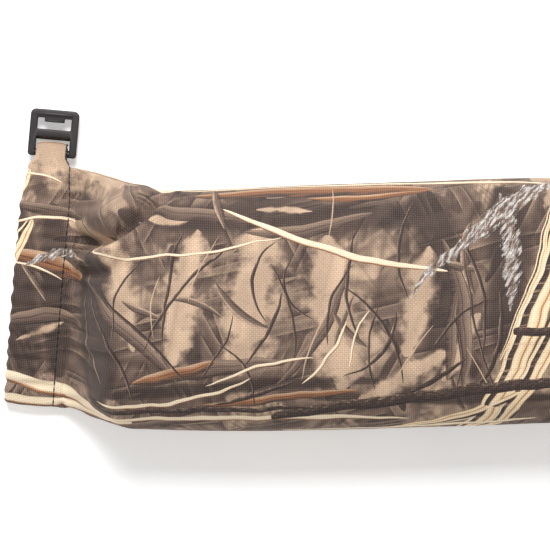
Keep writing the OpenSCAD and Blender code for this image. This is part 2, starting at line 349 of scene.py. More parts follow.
def apply_modifiers(obj):
    """Turns the object's modifiers into mesh."""
    evaluated = obj.evaluated_get(bpy.context.evaluated_depsgraph_get())
    mesh = bpy.data.meshes.new_from_object(evaluated, preserve_all_data_layers=True,
                                           depsgraph=bpy.context.evaluated_depsgraph_get())
    obj.modifiers.clear()
    obj.data = mesh


def coordinates(obj):
    """The object's vertices as an array."""
    flat = np.empty(len(obj.data.vertices) * 3)
    obj.data.vertices.foreach_get("co", flat)
    return flat.reshape(-1, 3)


def tubes(name, paths, radius, sides=8, taper=0.55):
    """Short round threads, one along each path, thinner where they dip into the cloth."""
    verts, faces = [], []
    turn = np.linspace(0, 2 * math.pi, sides, endpoint=False)
    for path in paths:
        path = np.asarray(path)
        along = np.gradient(path, axis=0)
        along /= np.linalg.norm(along, axis=1)[:, None] + TINY
        side = np.cross(along, [0.31, 0.52, 0.79])
        side /= np.linalg.norm(side, axis=1)[:, None] + TINY
        up = np.cross(side, along)
        t = np.linspace(0, 1, len(path))
        r = radius * (taper + (1 - taper) * np.sqrt(np.clip(4 * t * (1 - t), 0, 1)))
        first = len(verts)
        for i, p in enumerate(path):
            ring = p + r[i] * (np.cos(turn)[:, None] * side[i] + np.sin(turn)[:, None] * up[i])
            verts.extend(ring)
        faces.extend((grid_faces(len(path), sides) + first).tolist())
        faces.append([first + k for k in range(sides)])
        faces.append([len(verts) - sides + k for k in range(sides)][::-1])
    return new_object(name, verts, faces)


HOLE_DEPTH = 0.12 * MM


def stitch_paths(line, normals, pitch, lift, closed=True, points=6):
    """Paths of stitches along a line on the cloth: each rises a little and dips into its holes."""
    line, normals = np.asarray(line), np.asarray(normals)
    if closed:
        line = np.concatenate([line, line[:1]])
        normals = np.concatenate([normals, normals[:1]])
    run = np.concatenate([[0], np.cumsum(np.linalg.norm(np.diff(line, axis=0), axis=1))])
    count = int(run[-1] / pitch)
    paths = []
    for k in range(count):
        t = (k + np.linspace(0.05, 0.95, points)) / count * run[-1]
        p = np.stack([np.interp(t, run, line[:, i]) for i in range(3)], 1)
        n = np.stack([np.interp(t, run, normals[:, i]) for i in range(3)], 1)
        arch = np.sin(np.linspace(0, math.pi, points))[:, None]
        paths.append(p + n * (lift * arch - HOLE_DEPTH))
    return paths


def place(obj, finish, body, slot, node):
    """Gives a piece its finish, and puts it on its body in place of its CAD node; the slot is not used."""
    obj.data.materials.append(material_named(finish))
    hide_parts(node)
    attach(obj, body)


def sew(name, paths, thread_d, node):
    """Puts a row of black stitches along these paths, in place of its CAD node."""
    place(tubes(name, paths, thread_d / 2), "black_thread_twist", "bumper", "black_thread", node)


# ----------------------------------------------------------------------------------------------
# Shader helpers
# ----------------------------------------------------------------------------------------------


class Wiring:
    """Adds and joins the nodes of one tree."""

    def __init__(self, tree):
        self.tree = tree

    def add(self, kind, **options):
        node = self.tree.nodes.new(kind)
        for key, value in options.items():
            setattr(node, key, value)
        return node

    def feed(self, socket, value):
        """Joins a socket to another one, or sets its value."""
        if isinstance(value, bpy.types.NodeSocket):
            self.tree.links.new(value, socket)
        elif isinstance(value, (tuple, list)) and socket.type == "RGBA" and len(value) == 3:
            socket.default_value = (*value, 1.0)
        else:
            socket.default_value = value

    def math(self, operation, *values, clamp=False):
        node = self.add("ShaderNodeMath", operation=operation, use_clamp=clamp)
        for socket, value in zip(node.inputs, values):
            self.feed(socket, value)
        return node.outputs[0]

    def dot(self, a, b):
        node = self.add("ShaderNodeVectorMath", operation="DOT_PRODUCT")
        self.feed(node.inputs[0], a)
        self.feed(node.inputs[1], b)
        return node.outputs["Value"]

    def mix(self, factor, a, b, blend="MIX"):
        node = self.add("ShaderNodeMix", data_type="RGBA", blend_type=blend)
        self.feed(node.inputs[0], factor)
        self.feed(node.inputs[6], a)
        self.feed(node.inputs[7], b)
        return node.outputs[2]

    def ease(self, value, start, end, low_value=0.0, high_value=1.0):
        node = self.add("ShaderNodeMapRange", interpolation_type="SMOOTHSTEP")
        for index, item in enumerate((value, start, end, low_value, high_value)):
            self.feed(node.inputs[index], item)
        return node.outputs[0]

    def noise(self, vector, scale, detail=2.0, roughness=0.5, warp=0.0):
        node = self.add("ShaderNodeTexNoise")
        self.feed(node.inputs["Vector"], vector)
        for name, value in (("Scale", scale), ("Detail", detail), ("Roughness", roughness),
                            ("Distortion", warp)):
            node.inputs[name].default_value = value
        return node.outputs["Fac"]

    def here(self):
        """The object's own coordinates, in metres."""
        return self.add("ShaderNodeTexCoord").outputs["Object"]

    def stretch(self, vector, angle, across):
        """The vector turned by an angle in degrees, with one direction drawn out."""
        node = self.add("ShaderNodeMapping", vector_type="TEXTURE")
        self.feed(node.inputs["Vector"], vector)
        node.inputs["Rotation"].default_value = (0, 0, math.radians(angle))
        node.inputs["Scale"].default_value = (across, 1, 1)
        return node.outputs[0]

    def ramp(self, value, stops):
        node = self.add("ShaderNodeValToRGB")
        self.feed(node.inputs[0], value)
        elements = node.color_ramp.elements
        while len(elements) < len(stops):
            elements.new(0.5)
        for element, (position, shade) in zip(elements, stops):
            element.position = position
            element.color = (*shade, 1.0)
        return node.outputs["Color"]

    def group(self, tree, **values):
        node = self.add("ShaderNodeGroup", node_tree=tree)
        for name, value in values.items():
            self.feed(node.inputs[name.replace("_", " ")], value)
        return node


def new_group(name, inputs, outputs):
    """An empty shader group, with its wiring and its input and output nodes."""
    tree = bpy.data.node_groups.new(name, "ShaderNodeTree")
    for label, kind, default in inputs:
        socket = tree.interface.new_socket(name=label, in_out="INPUT", socket_type=kind)
        if default is not None:
            socket.default_value = default
    for label, kind in outputs:
        tree.interface.new_socket(name=label, in_out="OUTPUT", socket_type=kind)
    wiring = Wiring(tree)
    return tree, wiring, wiring.add("NodeGroupInput"), wiring.add("NodeGroupOutput")


def new_material(name, roughness=0.8, specular=0.3):
    """A material with a Principled shader, its wiring and the shader node."""
    material = bpy.data.materials.new(name)
    material.use_nodes = True
    material.node_tree.nodes.clear()
    wiring = Wiring(material.node_tree)
    shader = wiring.add("ShaderNodeBsdfPrincipled")
    shader.inputs["Roughness"].default_value = roughness
    shader.inputs["Specular IOR Level"].default_value = specular
    output = wiring.add("ShaderNodeOutputMaterial")
    wiring.feed(output.inputs["Surface"], shader.outputs[0])
    return material, wiring, shader


def add_bump(wiring, shader, height, distance, strength=1.0):
    """Feeds a height, in the material, to the shader's normal."""
    node = wiring.add("ShaderNodeBump")
    node.inputs["Strength"].default_value = strength
    node.inputs["Distance"].default_value = distance
    wiring.feed(node.inputs["Height"], height)
    wiring.feed(shader.inputs["Normal"], node.outputs[0])


# ----------------------------------------------------------------------------------------------
# The print: blades and twigs, in millimetres of the flat cloth
# ----------------------------------------------------------------------------------------------

# The print repeats along the cloth and round it, and each row of repeats is shifted by half a repeat.
REPEAT_X = (-200.0, 40.0)
REPEAT_Y = 66.0


class Blade:
    """One drawn blade: its start, direction in degrees, length, half width, sideways bend and point."""

    def __init__(self, x, y, angle, length_mm, width, bend=0.0, point=0.5):
        a = math.radians(angle)
        c, s = math.cos(a), math.sin(a)
        self.along = (c / length_mm, s / length_mm, -(c * x + s * y) / length_mm)
        self.across = (-s, c, s * x - c * y)
        self.width, self.bend, self.point = width, bend, point


def scatter(seed, count, x_range, y_range, angles, lengths, widths, bend, point=0.5):
    """Blades strewn over an area, spread evenly along it and at random across it."""
    pick = random.Random(seed)
    found = []
    for k in range(count):
        x = x_range[0] + (x_range[1] - x_range[0]) * (k + pick.uniform(0.1, 0.9)) / count
        y = pick.uniform(*y_range)
        angle = pick.choice(angles) + pick.uniform(-12, 12)
        found.append(Blade(x, y, angle, pick.uniform(*lengths), pick.uniform(*widths),
                           pick.uniform(-bend, bend), point))
    return found


# One long bowed leaf over the body, and the pale stripes low along the side and round the hem
REEDS = (
    Blade(-93, 43, -19, 92, 1.5, -5.5, 0.4),
    Blade(-199, -46, -4, 70, 3.4, -3.0, 0.25),
    Blade(-199, -57, 3, 60, 3.0, -2.0, 0.25),
    Blade(-146, -42, 13, 66, 1.1, -4.0, 0.5),
    Blade(-150, -51, 1, 130, 1.7, 3.5, 0.5),
    Blade(-70, -59, 4, 100, 1.8, -3.0, 0.4),
    Blade(-110, 60, -3, 150, 2.0, 2.0, 0.4),
    Blade(-230, 66, 0, 300, 2.6, 0.0, 0.05),
    Blade(-230, -66, 0, 300, 2.6, 0.0, 0.05),
)

# A fan of broad striped reeds towards the closed end, which goes on in the next repeat
FAN = (
    Blade(47, 50, -112, 130, 5.0, 3.0, 0.25),
    Blade(52, 26, -116, 108, 4.0, 2.0, 0.25),
    Blade(36, 44, -108, 70, 1.6, 3.0, 0.4),
    Blade(-30, -60, 24, 60, 3.6, -2.0, 0.3),
    Blade(-193, 50, -112, 130, 5.0, 3.0, 0.25),
    Blade(-188, 26, -116, 108, 4.0, 2.0, 0.25),
)

# Thin straw-coloured stems
STEMS = (
    Blade(-160, 21, 5, 90, 0.60, -3.5, 0.4),
    Blade(-199, 47, -6, 22, 0.6, 1.5, 0.4),
    Blade(-199, 23, 4, 34, 0.8, 3.0, 0.4),
    Blade(-199, 6, -14, 26, 0.6, 2.0, 0.5),
    Blade(-62, -30, 55, 30, 0.7, -2.0, 0.5),
    Blade(-44, -24, 70, 24, 0.5, 2.0, 0.5),
    Blade(-100, -30, 14, 44, 0.7, 2.0, 0.5),
)

# Soft dark hollows behind the plants, part of the print; the two blades across the neck's slope also paint
# the shade of the fold between the neck and the body's end
HOLLOWS_AND_SLOPE_SHADE = (
    Blade(-134, 40, -2, 130, 11.0, 0.0, 0.4),
    # painted shade: these two blades darken the neck's slope, where the fold between the neck and the
    # body's end lies in shade, over the print's own dark
    Blade(-160, 12, -76, 60, 14.0, 2.0, 0.3),
    Blade(-148, 22, -84, 60, 12.0, 2.0, 0.3),
    Blade(-14, 48, -84, 78, 14.0, 2.0, 0.4),
    Blade(16, 50, -90, 70, 12.0, 2.0, 0.4),
    Blade(-150, -38, 4, 120, 4.0, 3.0, 0.4),
    Blade(-60, -36, -2, 100, 4.0, 0.0, 0.4),
    Blade(-196, 34, -82, 84, 11.0, 0.0, 0.4),
    Blade(44, 34, -82, 84, 11.0, 0.0, 0.4),
    Blade(-180, 34, -84, 80, 9.0, 0.0, 0.4),
    Blade(-112, 26, -80, 54, 6.0, 0.0, 0.5),
    Blade(-62, 24, -72, 60, 5.0, 0.0, 0.5),
)

# Pale gaps where the dry grass behind shows through
GAPS = (
    Blade(-86, -26, 82, 60, 19.0, 0.0, 0.6),
    Blade(-46, -33, 96, 62, 18.0, 0.0, 0.6),
    Blade(-112, -22, 80, 56, 11.0, 1.0, 0.6),
    Blade(-128, -16, 100, 46, 8.0, 0.0, 0.6),
    Blade(-22, -20, 78, 44, 9.0, 0.0, 0.6),
    Blade(-40, -38, 30, 40, 7.0, 0.0, 0.6),
    Blade(-8, -30, 60, 30, 6.0, 0.0, 0.6),
    Blade(-122, 36, 10, 18, 3.4, 0.0, 0.6),
    Blade(-80, 42, -6, 22, 2.6, 0.0, 0.6),
    Blade(-212, 60, -2, 76, 22.0, 0.0, 0.4),
    Blade(28, 60, -2, 76, 22.0, 0.0, 0.4),
    Blade(-172, 26, -6, 30, 9.0, 0.0, 0.6),
    Blade(-190, -30, 30, 22, 3.0, 0.0, 0.6),
)

# Broad dead leaves
LEAVES = (
    Blade(-126, 41, -6, 46, 3.6, 2.0, 0.6),
    Blade(-84, 31, 8, 50, 2.8, -3.0, 0.6),
    Blade(-158, 8, -38, 60, 2.8, 4.0, 0.7),
    Blade(-8, 26, -82, 60, 3.4, 4.0, 0.7),
    Blade(-130, -32, 10, 64, 3.0, 3.0, 0.6),
    Blade(-72, -30, 60, 54, 2.2, -5.0, 0.7),
    Blade(-196, 34, -6, 34, 3.0, -2.0, 0.6),
    Blade(-198, -22, 8, 38, 3.4, 2.0, 0.6),
    Blade(-2, 10, -96, 40, 2.2, 0.0, 0.6),
)

# Rust-coloured leaves
RUST_LEAVES = (
    Blade(-104, 52, -1, 92, 4.6, 1.5, 0.4),
    Blade(-60, 47, 3, 50, 2.2, -2.0, 0.5),
    Blade(-197, 10, -12, 34, 5.0, 0.0, 0.5),
    Blade(-128, -30, 16, 34, 2.6, 0.0, 0.5),
    Blade(-100, -40, 6, 60, 2.0, 1.0, 0.5),
)

# Feathery seed heads
SEED_HEADS = (
    Blade(-6, 16, 40, 66, 5.6, 2.0, 0.8),
    Blade(15, 46, -86, 50, 5.0, 2.0, 0.8),
    Blade(-20, 2, 46, 30, 2.4, 2.0, 0.8),
    Blade(-190, 4, 20, 26, 2.6, 2.0, 0.8),
)

# Bark-covered branches
BRANCHES = (
    Blade(-74, -46, 7, 114, 2.8, 2.0, 0.12),
    Blade(-150, -46, 3, 90, 1.4, 1.5, 0.3),
    Blade(-24, -38, 34, 30, 1.1, 0.0, 0.4),
    Blade(20, -12, 2, 19.5, 1.9, 0.0, 0.2),
)

TWIGS = scatter(11, 24, (-146, 20), (-40, 4), (62, 80, 98, 112, 126, 30), (26, 60), (0.45, 1.05), 7.0)
SMALL_LEAVES = scatter(29, 10, (-190, 16), (-36, 36), (20, -20, 60, 100, 130), (14, 30), (1.0, 2.0),
                       4.0, 0.7)
STRAWS = scatter(5, 8, (-190, 20), (-40, 30), (60, 75, 110, 125, 15), (12, 30), (0.22, 0.45), 3.0)


def make_blade_group():
    """How far inside a blade a point is, 1 on its middle line and 0 outside, and its side."""
    tree, w, given, result = new_group(
        "Blade",
        [("Cloth", "NodeSocketVector", None), ("Along", "NodeSocketVector", None),
         ("Across", "NodeSocketVector", None), ("Width", "NodeSocketFloat", 1.0),
         ("Bend", "NodeSocketFloat", 0.0), ("Point", "NodeSocketFloat", 0.5),
         ("Depth Below", "NodeSocketFloat", 0.0), ("Side Below", "NodeSocketFloat", 0.0)],
        [("Depth", "NodeSocketFloat"), ("Side", "NodeSocketFloat")])
    cloth = given.outputs["Cloth"]
    along = w.dot(cloth, given.outputs["Along"])
    across = w.dot(cloth, given.outputs["Across"])
    rest = w.math("SUBTRACT", 1.0, along)
    hump = w.math("MAXIMUM", w.math("MULTIPLY", w.math("MULTIPLY", along, rest), 4.0), 0.0)
    away = w.math("SUBTRACT", across, w.math("MULTIPLY", hump, given.outputs["Bend"]))
    half = w.math("MULTIPLY", w.math("POWER", hump, given.outputs["Point"]), given.outputs["Width"])
    side = w.math("DIVIDE", away, w.math("MAXIMUM", half, 0.001))
    depth = w.math("SUBTRACT", 1.0, w.math("ABSOLUTE", side), clamp=True)
    nearer = w.math("GREATER_THAN", depth, given.outputs["Depth Below"])
    pick = w.add("ShaderNodeMix", data_type="FLOAT")
    w.feed(pick.inputs[0], nearer)
    w.feed(pick.inputs[2], given.outputs["Side Below"])
    w.feed(pick.inputs[3], side)
    w.feed(result.inputs["Depth"], w.math("MAXIMUM", depth, given.outputs["Depth Below"]))
    w.feed(result.inputs["Side"], pick.outputs[0])
    return tree


def lay_blades(wiring, blade_group, cloth, blades):
    """The greatest depth in any of these blades, and the side of that blade: -1 to 1."""
    depth, side = 0.0, 0.0
    for blade in blades:
        node = wiring.group(blade_group, Cloth=cloth, Along=blade.along, Across=blade.across,
                            Width=blade.width, Bend=blade.bend, Point=blade.point,
                            Depth_Below=depth, Side_Below=side)
        depth, side = node.outputs["Depth"], node.outputs["Side"]
    return depth, side


def make_weave_group():
    """A plain weave: the height of the threads, and a tone that paints shade into the gaps between them and
    lightens their crowns.
    """
    tree, w, given, result = new_group(
        "Plain Weave",
        [("Cloth", "NodeSocketVector", None), ("Pitch", "NodeSocketFloat", 0.8)],
        [("Height", "NodeSocketFloat"), ("Weave Shading", "NodeSocketFloat")])
    split = w.add("ShaderNodeSeparateXYZ")
    w.feed(split.inputs[0], given.outputs["Cloth"])
    turn = w.math("DIVIDE", math.pi, given.outputs["Pitch"])
    warp = w.math("SINE", w.math("MULTIPLY", split.outputs[0], turn))
    weft = w.math("SINE", w.math("MULTIPLY", split.outputs[1], turn))
    cell = w.math("MULTIPLY", warp, weft)
    height = w.math("POWER", w.math("ABSOLUTE", cell), 0.6)
    over = w.ease(cell, -0.3, 0.3)
    # painted shade and highlight: darker in the gaps between the threads, lighter on their crowns, and a
    # little lighter where one thread lies over the other
    tone = w.math("MULTIPLY_ADD", over, 0.12, w.math("MULTIPLY_ADD", height, 0.34, 0.64))
    w.feed(result.inputs["Height"], height)
    w.feed(result.inputs["Weave Shading"], tone)
    return tree


def strands(w, flat, angle, draw, scale, bands, soft=False):
    """A thicket of blades in one direction, crisp or soft, from shadow, 0, to light, 1."""
    field = w.math("MULTIPLY", w.noise(w.stretch(flat, angle, draw), scale, 1.5, 0.45, 0.2), bands)
    if soft:
        return w.math("MULTIPLY", w.math("PINGPONG", field, 0.5), 2.0)
    return w.math("FRACT", field)


def make_print_group(cloth_settings, blade_group):
    """The marsh print, from the flat cloth's millimetres to a colour."""
    tree, w, given, result = new_group(
        "Marsh Print", [("Cloth", "NodeSocketVector", None)], [("Color", "NodeSocketColor")])
    flat = given.outputs["Cloth"]
    split = w.add("ShaderNodeSeparateXYZ")
    w.feed(split.inputs[0], flat)
    x, y = split.outputs[0], split.outputs[1]
    row = w.math("FLOOR", w.math("DIVIDE", w.math("ADD", y, REPEAT_Y), 2 * REPEAT_Y))
    shift = w.math("MULTIPLY", row, (REPEAT_X[1] - REPEAT_X[0]) / 2)
    tile_x = w.math("WRAP", w.math("ADD", x, shift), REPEAT_X[0], REPEAT_X[1])
    tile_y = w.math("WRAP", y, -REPEAT_Y, REPEAT_Y)
    sway = w.math("MULTIPLY_ADD", w.noise(flat, 0.06, 1.5), 3.6, -1.8)
    join = w.add("ShaderNodeCombineXYZ")
    w.feed(join.inputs[0], w.math("ADD", tile_x, sway))
    w.feed(join.inputs[1], w.math("SUBTRACT", tile_y, sway))
    join.inputs[2].default_value = 1.0
    cloth = join.outputs[0]

    s = cloth_settings
    ground, straw, rust = tuple(s.ground), tuple(s.straw), tuple(s.rust)
    shade, twig, mist, fluff = tuple(s.shade), tuple(s.twig), tuple(s.mist), tuple(s.fluff)
    bright = tuple(min(1.0, c * 1.12) for c in ground)
    mist_tan = tuple((a + 2 * b) / 3 for a, b in zip(ground, mist))
    soft_tan = tuple((3 * a + b) / 4 for a, b in zip(ground, mist))
    amber = tuple((a + b) / 2 for a, b in zip(straw, rust))
    cream = tuple(min(1.0, c * 1.10) for c in straw)
    honey = (straw[0], straw[1] * 0.87, straw[2] * 0.70)
    pale = tuple(min(1.0, c * 1.6) for c in fluff)
    fine = w.noise(flat, 0.9, 3.0, 0.6)
    grain_low = w.noise(w.stretch(flat, 8, 10.0), 0.60, 3.0, 0.6)
    grain_up = w.noise(w.stretch(flat, 100, 9.0), 0.55, 3.0, 0.6)
    cloud = w.noise(flat, 0.055, 3.0, 0.55)
    ragged = w.math("MULTIPLY_ADD", w.noise(flat, 0.13, 3.0, 0.55), 1.8, -0.95)
    gap_depth = lay_blades(w, blade_group, cloth, GAPS)[0]
    torn = w.math("MULTIPLY", ragged, w.ease(gap_depth, 0.0, 0.1))
    gap = w.ease(w.math("ADD", gap_depth, torn), 0.0, 0.66)
    # the print's dark hollows, together with the painted shade on the neck's slope
    hollow_and_slope_shade = w.ease(lay_blades(w, blade_group, cloth, HOLLOWS_AND_SLOPE_SHADE)[0], 0.0, 0.6)
    closed = w.math("SUBTRACT", 1.0, gap)

    # Ground: dry grass, out of focus, with dark hollows (and the painted shade on the neck's slope) and
    # pale gaps
    drift = w.noise(w.stretch(flat, 12, 2.0), 0.040, 3.0, 0.55, 0.6)
    tone = w.mix(w.ease(drift, 0.42, 0.58), ground, mist)
    tone = w.mix(w.math("MULTIPLY", hollow_and_slope_shade, 0.92), tone, twig)
    for angle, draw, weight in ((84, 7.0, 0.45), (124, 9.0, 0.40), (38, 9.0, 0.40)):
        blur = strands(w, flat, angle, draw, 0.050, 7.0, soft=True)
        tone = w.mix(w.math("MULTIPLY", w.ease(blur, 0.45, 0.95), weight), tone, mist)
        tone = w.mix(w.math("MULTIPLY", w.ease(blur, 0.35, 0.0), weight), tone, shade)
    shape = w.ramp(strands(w, flat, 78, 6.0, 0.045, 6.0, soft=True),
                   ((0.0, soft_tan), (0.5, ground), (1.0, bright)))
    tone = w.mix(w.math("MULTIPLY", gap, 0.96), tone, w.mix(w.ease(cloud, 0.44, 0.60), shape, soft_tan))

    # Thickets of stalks in three directions, each only in some places
    for angle, scale, bands, start in (
            (112, 0.085, 6.0, 0.50), (64, 0.090, 6.0, 0.51), (14, 0.085, 7.0, 0.48)):
        band = strands(w, flat, angle, 17.0, scale, bands)
        place_mask = w.noise(w.stretch(flat, angle, 1.8), 0.050 + 0.0001 * angle, 2.0, 0.5)
        mask = w.math("MULTIPLY", w.ease(place_mask, start, start + 0.05), w.math("MULTIPLY", closed, 0.8))
        stalk = w.ramp(band, ((0.0, shade), (0.30, twig), (0.80, mist), (0.97, mist_tan)))
        stalk = w.mix(w.math("MULTIPLY", hollow_and_slope_shade, 0.45), stalk, twig)
        tone = w.mix(mask, tone, stalk)
    # painted shade: the hollows, the neck's slope among them, are darkened further towards the shadow
    # colour, except in the gaps
    tone = w.mix(w.math("MULTIPLY", w.math("MULTIPLY", hollow_and_slope_shade, closed), 0.60), tone, shade)
    tone = w.mix(w.math("MULTIPLY", w.ease(fine, 0.48, 0.8), 0.25), tone, twig)

    # Dead leaves with a dark edge, a lit side and a midrib
    for blades, light_side in ((LEAVES, mist_tan), (RUST_LEAVES, amber), (SMALL_LEAVES, ground)):
        leaf, side = lay_blades(w, blade_group, cloth, blades)
        low_side = rust if light_side is amber else mist
        face = w.ramp(w.math("MULTIPLY_ADD", side, 0.5, 0.5),
                      ((0.0, shade), (0.26, twig), (0.49, low_side), (0.52, shade), (0.60, low_side),
                       (0.95, light_side)))
        face = w.mix(w.math("MULTIPLY", w.ease(grain_low, 0.42, 0.7), 0.55), face, low_side)
        face = w.mix(w.ease(leaf, 0.02, 0.16), shade, face)
        tone = w.mix(w.math("MULTIPLY", w.ease(leaf, 0.0, 0.05), 0.95), tone, face)

    # Twigs with a lit side, and fine straws
    thin, side = lay_blades(w, blade_group, cloth, TWIGS)
    bark_up = w.math("MULTIPLY_ADD", grain_up, 0.8, w.math("MULTIPLY_ADD", side, 0.4, 0.06))
    thin_tone = w.ramp(bark_up, ((0.30, shade), (0.58, twig), (0.74, mist), (0.95, ground)))
    tone = w.mix(w.math("MULTIPLY", w.ease(thin, 0.0, 0.15), 0.97), tone, thin_tone)
    straws = lay_blades(w, blade_group, cloth, STRAWS)[0]
    tone = w.mix(w.math("MULTIPLY", w.ease(straws, 0.0, 0.3), 0.85), tone, ground)

    # Reeds and stems: a dark edge, a rust side and a straw-coloured face
    plain = ((0.0, twig), (0.14, rust), (0.30, straw), (0.80, cream), (0.92, straw), (1.0, mist))
    striped = ((0.0, shade), (0.04, honey), (0.17, cream), (0.20, shade), (0.40, twig), (0.43, honey),
               (0.52, cream), (0.66, honey), (0.72, rust), (0.76, honey), (0.86, cream), (0.93, honey),
               (1.0, shade))
    for blades, stops, streak in ((FAN, striped, 0.5), (REEDS, plain, 0.25), (STEMS, plain, 0.15)):
        reed, side = lay_blades(w, blade_group, cloth, blades)
        face = w.ramp(w.math("MULTIPLY_ADD", side, 0.5, 0.5), stops)
        face = w.mix(w.math("MULTIPLY", w.ease(grain_low, 0.52, 0.66), streak), face, amber)
        face = w.mix(w.ease(reed, 0.0, 0.08), shade, face)
        tone = w.mix(w.ease(reed, 0.0, 0.04), tone, face)

    # Branches with bark
    branch, side = lay_blades(w, blade_group, cloth, BRANCHES)
    bark = w.noise(w.stretch(flat, 10, 3.0), 1.1, 4.0, 0.75, 0.8)
    lit = w.math("MULTIPLY_ADD", side, 0.14, bark)
    branch_tone = w.ramp(lit, ((0.40, shade), (0.58, twig), (0.68, mist), (0.80, ground)))
    tone = w.mix(w.ease(branch, 0.0, 0.10), tone, branch_tone)

    # Seed heads: a soft fringe of fine light hairs
    head = lay_blades(w, blade_group, cloth, SEED_HEADS)[0]
    hair = w.noise(w.stretch(flat, 56, 4.0), 0.85, 4.0, 0.70, 0.4)
    tuft = w.math("MULTIPLY_ADD", hair, 2.2, w.math("SUBTRACT", head, 1.35))
    head_tone = w.ramp(hair, ((0.34, twig), (0.47, mist), (0.57, fluff), (0.70, pale)))
    tone = w.mix(w.math("MULTIPLY", w.ease(tuft, 0.0, 0.35), w.ease(head, 0.0, 0.20)), tone, head_tone)

    w.feed(result.inputs["Color"], tone)
    return tree


def cloth_vector(wiring):
    """The flat cloth's place, in millimetres, from the UV map that every cloth piece carries."""
    uv = wiring.add("ShaderNodeUVMap", uv_map="cloth")
    scale = wiring.add("ShaderNodeVectorMath", operation="SCALE")
    wiring.feed(scale.inputs[0], uv.outputs[0])
    scale.inputs["Scale"].default_value = 1000.0
    return scale.outputs[0]


def make_cloth_material(name, print_group, weave_group, pitch_mm):
    """Printed woven polyester."""
    material, w, shader = new_material(name, roughness=0.80, specular=0.20)
    flat = cloth_vector(w)
    printed = w.group(print_group, Cloth=flat).outputs["Color"]
    weave = w.group(weave_group, Cloth=flat, Pitch=pitch_mm)
    slub = w.noise(w.stretch(flat, 0, 14.0), 1.4, 2.0)
    height = w.math("MULTIPLY_ADD", slub, 0.35, weave.outputs["Height"])
    speck = w.math("MULTIPLY", w.ease(weave.outputs["Height"], 0.62, 0.98), 0.060)
    lifted = w.mix(speck, printed, (0.90, 0.76, 0.64))
    # the weave's painted shade darkens the print in the gaps between threads, and its painted highlight
    # lifts their crowns
    toned = w.mix(1.0, lifted, weave.outputs["Weave Shading"], "MULTIPLY")
    w.feed(shader.inputs["Base Color"], toned)
    shader.inputs["Sheen Weight"].default_value = 0.03
    shader.inputs["Sheen Roughness"].default_value = 0.4
    add_bump(w, shader, height, 0.12 * MM, 0.8)
    return material


def make_thread_material(name, shade):
    """Twisted polyester thread, painted lighter where its surface is raised, as a highlight on the twist.
    """
    material, w, shader = new_material(name, roughness=0.5, specular=0.4)
    here = w.here()
    twist_grain_and_sheen = w.noise(here, 2600.0, 2.0)
    # painted highlight: the thread is lighter where the same noise raises its bump
    w.feed(shader.inputs["Base Color"],
           w.mix(w.ease(twist_grain_and_sheen, 0.35, 0.75), tuple(shade), tuple(min(1.0, c * 3 + 0.01) for c in shade)))
    add_bump(w, shader, twist_grain_and_sheen, 0.05 * MM)
    return material


def make_plastic_material(name, shade):
    """Moulded nylon with a fine spark finish."""
    material, w, shader = new_material(name, roughness=0.42, specular=0.32)
    here = w.here()
    spark = w.noise(here, 2400.0, 3.0, 0.6)
    cloud = w.noise(here, 160.0, 3.0, 0.6)
    w.feed(shader.inputs["Base Color"],
           w.mix(w.ease(cloud, 0.3, 0.75), tuple(shade), tuple(c * 1.45 for c in shade)))
    w.feed(shader.inputs["Roughness"], w.ease(spark, 0.2, 0.8, 0.34, 0.52))
    add_bump(w, shader, spark, 0.02 * MM, 0.5)
    return material


def make_ribbed_material(name, shade, weave_group, pitch_mm):
    """Narrow woven webbing or elastic, with ribs across it."""
    material, w, shader = new_material(name, roughness=0.7, specular=0.3)
    flat = cloth_vector(w)
    weave = w.group(weave_group, Cloth=flat, Pitch=pitch_mm)
    dust = w.noise(flat, 0.5, 3.0)
    tone = w.mix(w.ease(dust, 0.35, 0.75), tuple(shade), tuple(min(1.0, c * 1.3 + 0.004) for c in shade))
    # the weave's painted shade darkens the gaps between threads, and its painted highlight lifts their
    # crowns
    w.feed(shader.inputs["Base Color"], w.mix(1.0, tone, weave.outputs["Weave Shading"], "MULTIPLY"))
    add_bump(w, shader, weave.outputs["Height"], 0.18 * MM, 0.9)
    return material


def make_soft_material(name, shade, cell_scale, depth):
    """Foam or wadding: a soft, uneven, open surface, darker in its pits as painted shade."""
    material, w, shader = new_material(name, roughness=0.95, specular=0.15)
    here = w.here()
    cells = w.add("ShaderNodeTexVoronoi")
    w.feed(cells.inputs["Vector"], here)
    cells.inputs["Scale"].default_value = cell_scale
    cloud = w.noise(here, cell_scale / 6, 4.0, 0.65)
    height = w.math("ADD", cells.outputs["Distance"], cloud)
    # painted shade: the colour is darker where the surface is lower, in the pits between cells
    w.feed(shader.inputs["Base Color"],
           w.mix(w.ease(height, 0.3, 1.2), tuple(c * 0.72 for c in shade), tuple(shade)))
    add_bump(w, shader, height, depth)
    return material


def material_named(name):
    """A material that is made once and then shared."""
    found = bpy.data.materials.get(name)
    if found is None:
        raise RuntimeError(f"the material {name} isn't made yet")
    return found


# ----------------------------------------------------------------------------------------------
# The sleeve
# ----------------------------------------------------------------------------------------------

FLOOR_GAP = 0.05 * MM
COLUMNS = 256
BODY_ROWS = 104
NECK_ROWS = 44
HEM_ROWS = 26
FOLD_ROWS = 6
TURN_ROWS = 10
SHOULDER_PLUS = 19 * MM
SHOULDER_MINUS = 8 * MM
NECK_REACH = 5.2 * MM
STITCH_IN = 0.9 * MM
HEM_EDGE_R = 1.3 * MM

# The cloth solver's run: how firmly the open rows are held, and how far a point may move
HOLD = 0.06
HOLD_RAMP_ROWS = 5
SOLVER_FRAMES = 16
MOST_MOVED = 2.0 * MM


def core_end(y):
    """Where along X the stuffed body begins to close, for cloth at this y: its corners are round."""
    out = np.zeros_like(y)
    plus = y - (BODY_HALF_W - SHOULDER_PLUS)
    minus = -y - (BODY_HALF_W - SHOULDER_MINUS)
    for over, r in ((plus, SHOULDER_PLUS), (minus, SHOULDER_MINUS)):
        t = np.clip(over / r, 0, 1)
        out = np.maximum(out, r * (1 - np.sqrt(np.clip(1 - t * t, 0, 1))))
    return CORE_NEAR + out


